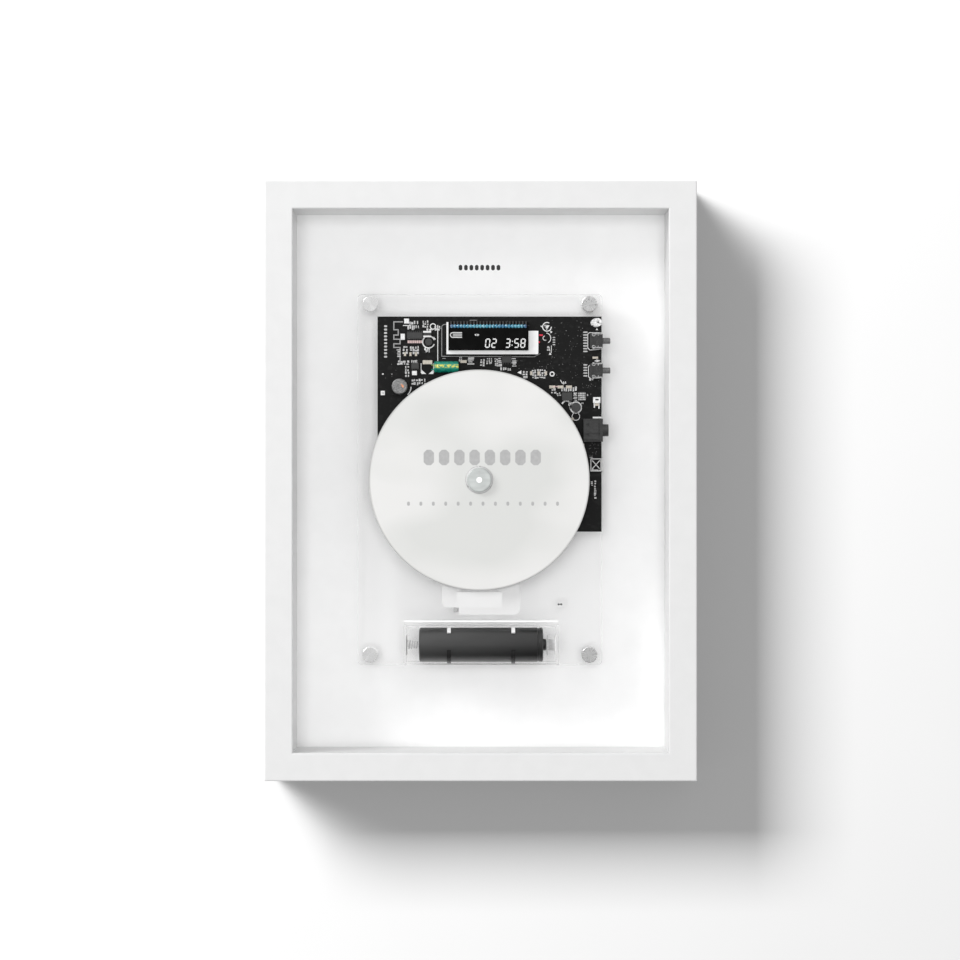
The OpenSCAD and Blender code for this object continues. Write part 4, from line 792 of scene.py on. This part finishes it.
# Middle, size and height of small white blocks, such as crystals, sockets and coils
WHITE_BLOCKS = [
    (15.9, 2.5, 2.7, 2.7, 0.7), (13.8, 11.1, 2.3, 3.3, 1.0), (20.2, 30.9, 2.7, 2.4, 0.8),
    (2.9, 41.8, 2.3, 2.4, 0.9), (119.8, 45.7, 4.0, 3.2, 1.1), (118.5, 48.6, 0.7, 2.6, 0.5),
    (121.0, 48.9, 0.7, 3.0, 0.5), (27.1, 8.4, 4.4, 1.0, 0.9), (27.1, 10.9, 4.4, 0.9, 0.9)]
DARK_BLOCKS = [
    (27.1, 9.6, 4.2, 1.5, 0.8), (2.9, 41.8, 1.4, 0.3, 1.0), (119.9, 45.4, 1.8, 0.9, 1.2),
    (78.4, 13.1, 0.3, 0.3, 0.1)]

# Corners of the stretches that carry small bare vias: left, top, right, bottom, number
VIA_FIELDS = [(95, 2, 113, 34, 70), (76, 24, 96, 29, 16), (112, 35, 121, 44, 14),
              (103, 56, 113, 70, 12), (115, 69, 121, 76, 26), (3, 25, 12, 36, 6), (60, 2.2, 76, 3, 3)]

# Middle, number, pitch, width and height of the bars that run down the board
WORDS = [(4.4, 13.6, 10, 1.85, 1.7, 1.05), (113.6, 13.8, 8, 1.5, 2.4, 0.75),
         (113.6, 29.4, 5, 1.5, 2.2, 0.75), (96.4, 13.4, 4, 1.3, 1.4, 0.6)]


def make_board_print():
    """White and grey printing, with plain bars in the places of words."""
    low, high = 0.02, 0.06
    bm = bmesh.new()
    for width, points in PRINTED_LINES:
        ribbon(bm, board, points, width, low, high)
    for x, y, r, width, start, end in PRINTED_RINGS:
        ring(bm, board, x, y, r, width, low, high, start, end)
    for outline in PRINTED_TRIANGLES:
        plate_shape(bm, board, outline, low, high)
    white = plain("board_print", grey(0.72), 0.6, 0.5, 0.1, 0.004)
    new_piece("board_print", bm, white)

    bm = bmesh.new()
    for word in WORDS:
        bars(bm, board, *word, low, high, down=True)
    new_piece("board_words", bm, plain("board_words", grey(0.45), 0.6, 0.5, 0.2, 0.004))

    bm = bmesh.new()
    for width, points in GREY_LINES:
        ribbon(bm, board, points, width, low, high)
    ribbon(bm, board, ANTENNA, 0.6, low, high)
    new_piece("board_tracks", bm, plain("board_tracks", grey(0.3), 0.45, 0.6, 0.15, 0.004))


def make_solder():
    """Solder pads, the fine grid on the coil's top, and bare vias."""
    bm = bmesh.new()
    for x, y, w, h, columns, rows in PADS:
        grid(bm, board, x, y, w, h, columns, rows, 0.01, 0.14, loose=0.35)
    coil_top = 2.4
    grid(bm, board, 111.6, 43.7, 4.0, 4.3, 5, 4, coil_top, coil_top + 0.08)
    solder = plain("solder", grey(0.52), 0.32, 0.45, 0.45, 0.03, metallic=0.25)
    new_piece("board_solder", bm, solder)

    bm = bmesh.new()
    for left, top, right, bottom, count in VIA_FIELDS:
        for _ in range(count):
            disc_shape(bm, board, random.uniform(left, right), random.uniform(top, bottom),
                       random.uniform(0.12, 0.22), 0.01, 0.05, steps=6)
    new_piece("board_vias", bm, plain("board_vias", grey(0.16), 0.5, 1.5, 0.6, 0.004))


def make_small_parts():
    """Small white, black and pinkish parts and two red lamps."""
    bm = bmesh.new()
    for x, y, w, h, height in WHITE_BLOCKS:
        block(bm, board, x, y, w, h, 0.01, height, 0.15)
    new_piece("board_white_parts", bm, plain("part_white", grey(0.75), 0.45, 0.8, 0.12))

    bm = bmesh.new()
    for x, y, w, h, height in DARK_BLOCKS:
        block(bm, board, x, y, w, h, 0.01, height, 0.05)
    new_piece("board_dark_parts", bm, SLOT_MATERIALS["chip_black"])

    bm = bmesh.new()
    grid(bm, board, 20.3, 13.8, 8.0, 1.5, 8, 1, 0.01, 0.3, (0.8, 1.0))
    grid(bm, board, 97.4, 38.3, 3.2, 0.6, 2, 1, 0.01, 0.9, (0.8, 1.0))
    new_piece("board_pink_parts", bm, plain("part_pink", (0.62, 0.47, 0.46), 0.4, 0.6, 0.15))

    bm = bmesh.new()
    block(bm, board, 89.2, 10.2, 2.2, 0.9, 0.01, 0.7, 0.15)
    block(bm, board, 88.3, 14.0, 0.9, 0.9, 0.01, 0.7, 0.15)
    new_piece("board_red_lamps", bm, plain("lamp_red", (0.75, 0.02, 0.06), 0.25, 0.5, 0.1, coat=0.5))


def make_part_marks_and_glint():
    """A painted orange glint on the can's top, and two triangles and a line on the headphone socket."""
    # Painted highlight: an orange glint on the can's top
    bm = bmesh.new()
    lift = board.front - Face("can_capacitor").front
    plate_shape(bm, board, [(13.0, 37.0), (14.5, 37.9), (14.4, 39.4), (13.4, 38.5)],
                lift + 0.01, lift + 0.08)
    new_piece("capacitor_glint", bm, plain("painted_orange_glint", (0.72, 0.3, 0.16), 0.4, 0.4, 0.2))

    bm = bmesh.new()
    for down in (3.1, 8.6):
        plate_shape(bm, jack, [(1.0, down), (3.0, down - 0.9), (3.0, down + 0.9)], 0.01, 0.06)
    ribbon(bm, jack, [(0.6, 8.0), (9.0, 8.0)], 0.2, 0.01, 0.05)
    new_piece("socket_marks", bm, plain("socket_marks", grey(0.012), 0.5, 0.5))


def make_switch_details():
    """Bent metal ears on both switches, and the lip and small squares of their lids."""
    ears, lids = bmesh.new(), bmesh.new()
    ear_inset, ear_t, lip_inset, lip_t, lid_t = 0.75, 0.12, 1.8, 0.08, 0.1
    for node in ("power_switch_body", "function_switch_body"):
        face = Face(node)
        w, h = face.width, face.height
        for down, turn in ((ear_inset, 1), (h - ear_inset, -1)):
            ribbon(ears, face, [(1.6, down), (w - 0.2, down)], 0.7, 0.0, ear_t)
            ring(ears, face, 2.0, down + 0.35 * turn, 0.85, 0.35, 0.0, ear_t)
            bend = [(w * 0.62, down), (w * 0.66, down + 1.1 * turn)]
            ribbon(ears, face, bend, 0.45, 0.0, ear_t)
        ribbon(lids, face, [(1.0, lip_inset), (1.0, h - lip_inset)], 0.4, 0.0, lip_t)
        grid(lids, face, w * 0.66, h / 2, w * 0.4, h - 4.6, 2, 4, 0.0, lid_t, (0.8, 0.75), loose=0.3)
    new_piece("switch_ears", ears, plain("switch_ears", grey(0.4), 0.3, 0.6, 0.4, metallic=0.3))
    new_piece("switch_lids", lids, plain("switch_lids", grey(0.035), 0.4, 0.6, 0.5))


def make_corner_solder():
    """Solder over the screw in the board's corner, with two dark pits."""
    bm = bmesh.new()
    head = board.front - screw_heads.front
    disc_shape(bm, board, 118.3, 3.5, 1.9, 0.01, head + 0.05)
    disc_shape(bm, board, 120.3, 3.2, 2.3, 0.01, head + 0.12)
    new_piece("corner_solder", bm, plain("corner_solder", grey(0.7), 0.25, 0.9, 0.3, 0.05, metallic=0.2))
    bm = bmesh.new()
    disc_shape(bm, board, 120.5, 3.2, 0.5, head + 0.12, head + 0.16)
    disc_shape(bm, board, 117.6, 5.0, 0.35, head + 0.05, head + 0.09)
    new_piece("corner_solder_pit", bm, SLOT_MATERIALS["chip_black"])


# ---------- prints on the disc and the back board, hub, battery and holder ----------


def make_prints():
    """Plain bars on the disc and on the back board."""
    bm = bmesh.new()
    bars(bm, record_disc, 61.6, 47.8, count=8, pitch=8.3, w=5.6, h=8.4, low=0.01, high=0.03)
    grey_ink = plain("disc_marks", grey(0.42), 0.45, 2.0, 0.05, 0.002)
    new_piece("disc_marks", bm, grey_ink, body="disc")

    bm = bmesh.new()
    bars(bm, record_disc, 62.0, 72.9, count=13, pitch=6.75, w=1.5, h=2.2, low=0.01, high=0.03)
    new_piece("disc_small_marks", bm, grey_ink, body="disc")

    bm = bmesh.new()
    bars(bm, rear, rear.width / 2 - 0.7, 36.4, count=8, pitch=3.0, w=2.0, h=3.0, low=0.01, high=0.04)
    new_piece("rear_marks", bm, plain("rear_marks", grey(0.03), 0.5, 1.0, 0.1, 0.002))


def make_hub():
    """A painted white highlight in the middle of the hub, and the fine seam that runs up from it."""
    bm = bmesh.new()
    middle = hub.width / 2
    # Painted highlight: a white dot on the hub's middle
    disc_shape(bm, hub, middle, middle, 1.6, 0.0, 0.12)
    new_piece("hub_highlight_dot", bm, plain("hub_painted_highlight", grey(0.95), 0.35, 0.8, 0.03), body="spindle")
    bm = bmesh.new()
    ribbon(bm, hub, [(middle, middle - 1.8), (middle, middle - 5.0)], 0.25, 0.0, 0.03)
    new_piece("hub_seam", bm, plain("hub_seam", grey(0.42), 0.4, 0.8), body="spindle")


def make_clip_shade():
    """Painted shade under the holder's two clips on the cell, each a row of short dark plates round the
    cell's lower front.
    """
    low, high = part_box("battery_cell")
    middle_y, middle_z, radius = (low.y + high.y) / 2, (low.z + high.z) / 2, (high.z - low.z) / 2
    # Painted shade: dark plates where the clips shade the cell's film
    clip_shade_places, clip_shade_w, plates, first_turn, turn_step = (15.2, 50.3), 1.2 * MM, 8, -20, -6
    bm = bmesh.new()
    for right in clip_shade_places:
        x0 = low.x + right * MM
        for i in range(plates):
            points = []
            for turn in (first_turn + i * turn_step, first_turn + (i + 1) * turn_step):
                angle = math.radians(turn)
                for reach in (radius + 0.02 * MM, radius + 0.06 * MM):
                    points.append((middle_y - reach * math.cos(angle),
                                   middle_z + reach * math.sin(angle)))
            inner_a, outer_a, inner_b, outer_b = points
            loop = [inner_a, outer_a, outer_b, inner_b]
            prism(bm, [(x0, y, z) for y, z in loop], [(x0 + clip_shade_w, y, z) for y, z in loop])
    clip_shade_paint = plain("painted_clip_shade", grey(0.004), 0.6, 0.8, specular=0.05)
    new_piece("clip_shade_plates", bm, clip_shade_paint, body="battery")


def make_holder_details():
    """Dark edges of the two contacts, and a painted glint along the clear holder's upper rim."""
    bm = bmesh.new()
    ribbon(bm, spring, [(0.2, 0.1), (0.2, spring.height - 0.1)], 0.3, 0.0, 0.05)
    bent = [(0.35, 0.1), (0.15, leaf.height * 0.7), (0.35, leaf.height - 0.1)]
    ribbon(bm, leaf, bent, 0.25, 0.0, 0.05)
    new_piece("contact_edges", bm, plain("contact_edges", grey(0.12), 0.4, 0.6, 0.2))

    bm = bmesh.new()
    # Painted highlight: a pale strip along the holder's upper rim
    rim = 0.8
    ribbon(bm, holder, [(0.2, rim / 2), (holder.width - 0.2, rim / 2)], rim, 0.0, 0.06)
    new_piece("holder_rim_glints", bm, plain("painted_rim_glint", grey(0.96), 0.25, 2.0, 0.02))


def make_lead_ends():
    """Two lead ends in the wire grommet."""
    bm = bmesh.new()
    low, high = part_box("wire_grommet")
    lead_gap, lead_r, lead_t = 0.68 * MM, 0.56, 0.15 * MM
    for side in (-1, 1):
        x, z = (low.x + high.x) / 2 + side * lead_gap, (low.z + high.z) / 2
        outline = circle_points(x / MM, z / MM, lead_r, steps=10)[:-1]
        prism(bm, [(px * MM, low.y, pz * MM) for px, pz in outline],
              [(px * MM, low.y - lead_t, pz * MM) for px, pz in outline])
    new_piece("lead_ends", bm, SLOT_MATERIALS["black_plastic"])


# ---------- wall, light and camera ----------

# Metres in front of the frame, and millimetres of lens
CAMERA_DISTANCE = 1.5
CAMERA_LENS = 103.97
CAMERA_X, CAMERA_Z = -0.406 * MM, -117.54 * MM
# Lamps: place from the middle of the frame and size, in metres, and power in watts
KEY_PLACE = (-2.7, -1.2, 1.9)
WALL_PLACE = (-2.66, -2.0, 2.24)
KEY_SIZE = (2.4, 2.0)
FRONT_PLACE = (-0.1, -2.4, 0.1)
FRONT_SIZE = (1.1, 1.1)
BACK_PLACE = (0.0, 2.4, 0.3)
KEY_WATTS, WALL_WATTS, FRONT_WATTS, BACK_WATTS = 190.0, 550.0, 28.0, 15.0
# The sky's level for plain rays, and for mirrored ones from below and from above
WORLD_LEVEL = 0.49
GLOSS_LOW, GLOSS_HIGH = 0.05, 1.0
# The wall paint's grey, and the wall's gap behind the frame, in metres
WALL_GREY = 0.715
WALL_GAP = 0.4 * MM


def make_wall():
    """The white wall, one-sided so that the back of the object can be looked at."""
    bm = bmesh.new()
    half = 4.0
    corners = [(-half, -half), (half, -half), (half, half), (-half, half)]
    bm.faces.new([bm.verts.new((x, WALL_GAP, z)) for x, z in corners])
    mesh = bpy.data.meshes.new("wall")
    bm.to_mesh(mesh)
    bm.free()
    mat = new_material("wall_paint", grey(WALL_GREY), 0.9)
    mottle(mat, noise(mat, 60), grey(WALL_GREY * 0.995), grey(WALL_GREY))
    geometry = add_node(mat, "ShaderNodeNewGeometry")
    clear = add_node(mat, "ShaderNodeBsdfTransparent")
    mix_surface(mat, geometry.outputs["Backfacing"], shader_of(mat).outputs[0], clear.outputs[0])
    mesh.materials.append(mat)
    wall = new_object("wall", mesh)
    wall.visible_shadow = False
    wall.visible_diffuse = False
    return wall


def make_lamp(name, watts, spot, size):
    """A rectangular lamp that faces the wall's plane, placed from the middle of the frame."""
    lamp = bpy.data.lights.new(name, "AREA")
    lamp.shape = "RECTANGLE"
    lamp.size, lamp.size_y = size
    lamp.energy = watts
    stand = new_object(name, lamp)
    stand.location = Vector(spot) + Vector((0, 0, frame_centre.z))
    stand.rotation_euler = (math.radians(90 if spot[1] < 0 else -90), 0, 0)
    return stand


def make_lights(wall):
    """A soft lamp from the upper left, one that only the wall sees, one in front, one behind,
    and the sky. The first, the third and the fourth leave the wall out."""
    key_lamp = make_lamp("key", KEY_WATTS, KEY_PLACE, KEY_SIZE)
    wall_lamp = make_lamp("wall_key", WALL_WATTS, WALL_PLACE, KEY_SIZE)
    front_lamp = make_lamp("front", FRONT_WATTS, FRONT_PLACE, FRONT_SIZE)
    front_lamp.visible_glossy = False
    back_lamp = make_lamp("back", BACK_WATTS, BACK_PLACE, FRONT_SIZE)
    for lamp, state in ((wall_lamp, "INCLUDE"), (key_lamp, "EXCLUDE"), (front_lamp, "EXCLUDE"),
                        (back_lamp, "EXCLUDE")):
        group = bpy.data.collections.new(lamp.name + "_wall")
        group.objects.link(wall)
        group.collection_objects[0].light_linking.link_state = state
        lamp.light_linking.receiver_collection = group
    make_sky()


def make_sky():
    """An even sky: white for the camera, and for mirrored rays brighter towards the top."""
    world = bpy.data.worlds.new("sky")
    bpy.context.scene.world = world
    world.use_nodes = True
    tree = world.node_tree
    background = tree.nodes["Background"]
    background.inputs["Color"].default_value = (1, 1, 1, 1)
    rays = tree.nodes.new("ShaderNodeLightPath")
    direction = tree.nodes.new("ShaderNodeTexCoord")
    separate = tree.nodes.new("ShaderNodeSeparateXYZ")
    tree.links.new(direction.outputs["Generated"], separate.inputs["Vector"])
    gloss = tree.nodes.new("ShaderNodeMapRange")
    gloss.inputs["From Min"].default_value = -1.0
    gloss.inputs["From Max"].default_value = 0.5
    gloss.inputs["To Min"].default_value = GLOSS_LOW
    gloss.inputs["To Max"].default_value = GLOSS_HIGH
    tree.links.new(separate.outputs["Z"], gloss.inputs["Value"])

    def choose(ray, off, on):
        """One level for a kind of ray and another for the rest."""
        mix = tree.nodes.new("ShaderNodeMix")
        tree.links.new(rays.outputs[ray], mix.inputs["Factor"])
        for socket, value in (("A", off), ("B", on)):
            if isinstance(value, float):
                mix.inputs[socket].default_value = value
            else:
                tree.links.new(value, mix.inputs[socket])
        return mix.outputs["Result"]

    level = choose("Is Glossy Ray", WORLD_LEVEL, gloss.outputs["Result"])
    level = choose("Is Transmission Ray", level, 1.0)
    level = choose("Is Camera Ray", level, 1.0)
    tree.links.new(level, background.inputs["Strength"])


def make_camera():
    """A long lens on the middle of the frame, straight in front of it."""
    data = bpy.data.cameras.new("camera")
    data.sensor_width = 36.0
    data.lens = CAMERA_LENS
    data.clip_end = 50.0
    camera = new_object("camera", data)
    camera.location = (CAMERA_X, front_y - CAMERA_DISTANCE, CAMERA_Z)
    camera.rotation_euler = (math.radians(90), 0, 0)
    bpy.context.scene.camera = camera


# ---------- the scene ----------

random.seed(7)
dress_frame()
make_display()
make_beads()
make_board_print()
make_solder()
make_small_parts()
make_part_marks_and_glint()
make_switch_details()
make_corner_solder()
make_prints()
make_hub()
make_clip_shade()
make_holder_details()
make_lead_ends()
make_lights(make_wall())
make_camera()
bpy.context.scene.view_settings.view_transform = "Standard"
# Light passes up to a dozen thin clear walls on its way to the board behind the battery's holder
bpy.context.scene.cycles.transparent_max_bounces = 32
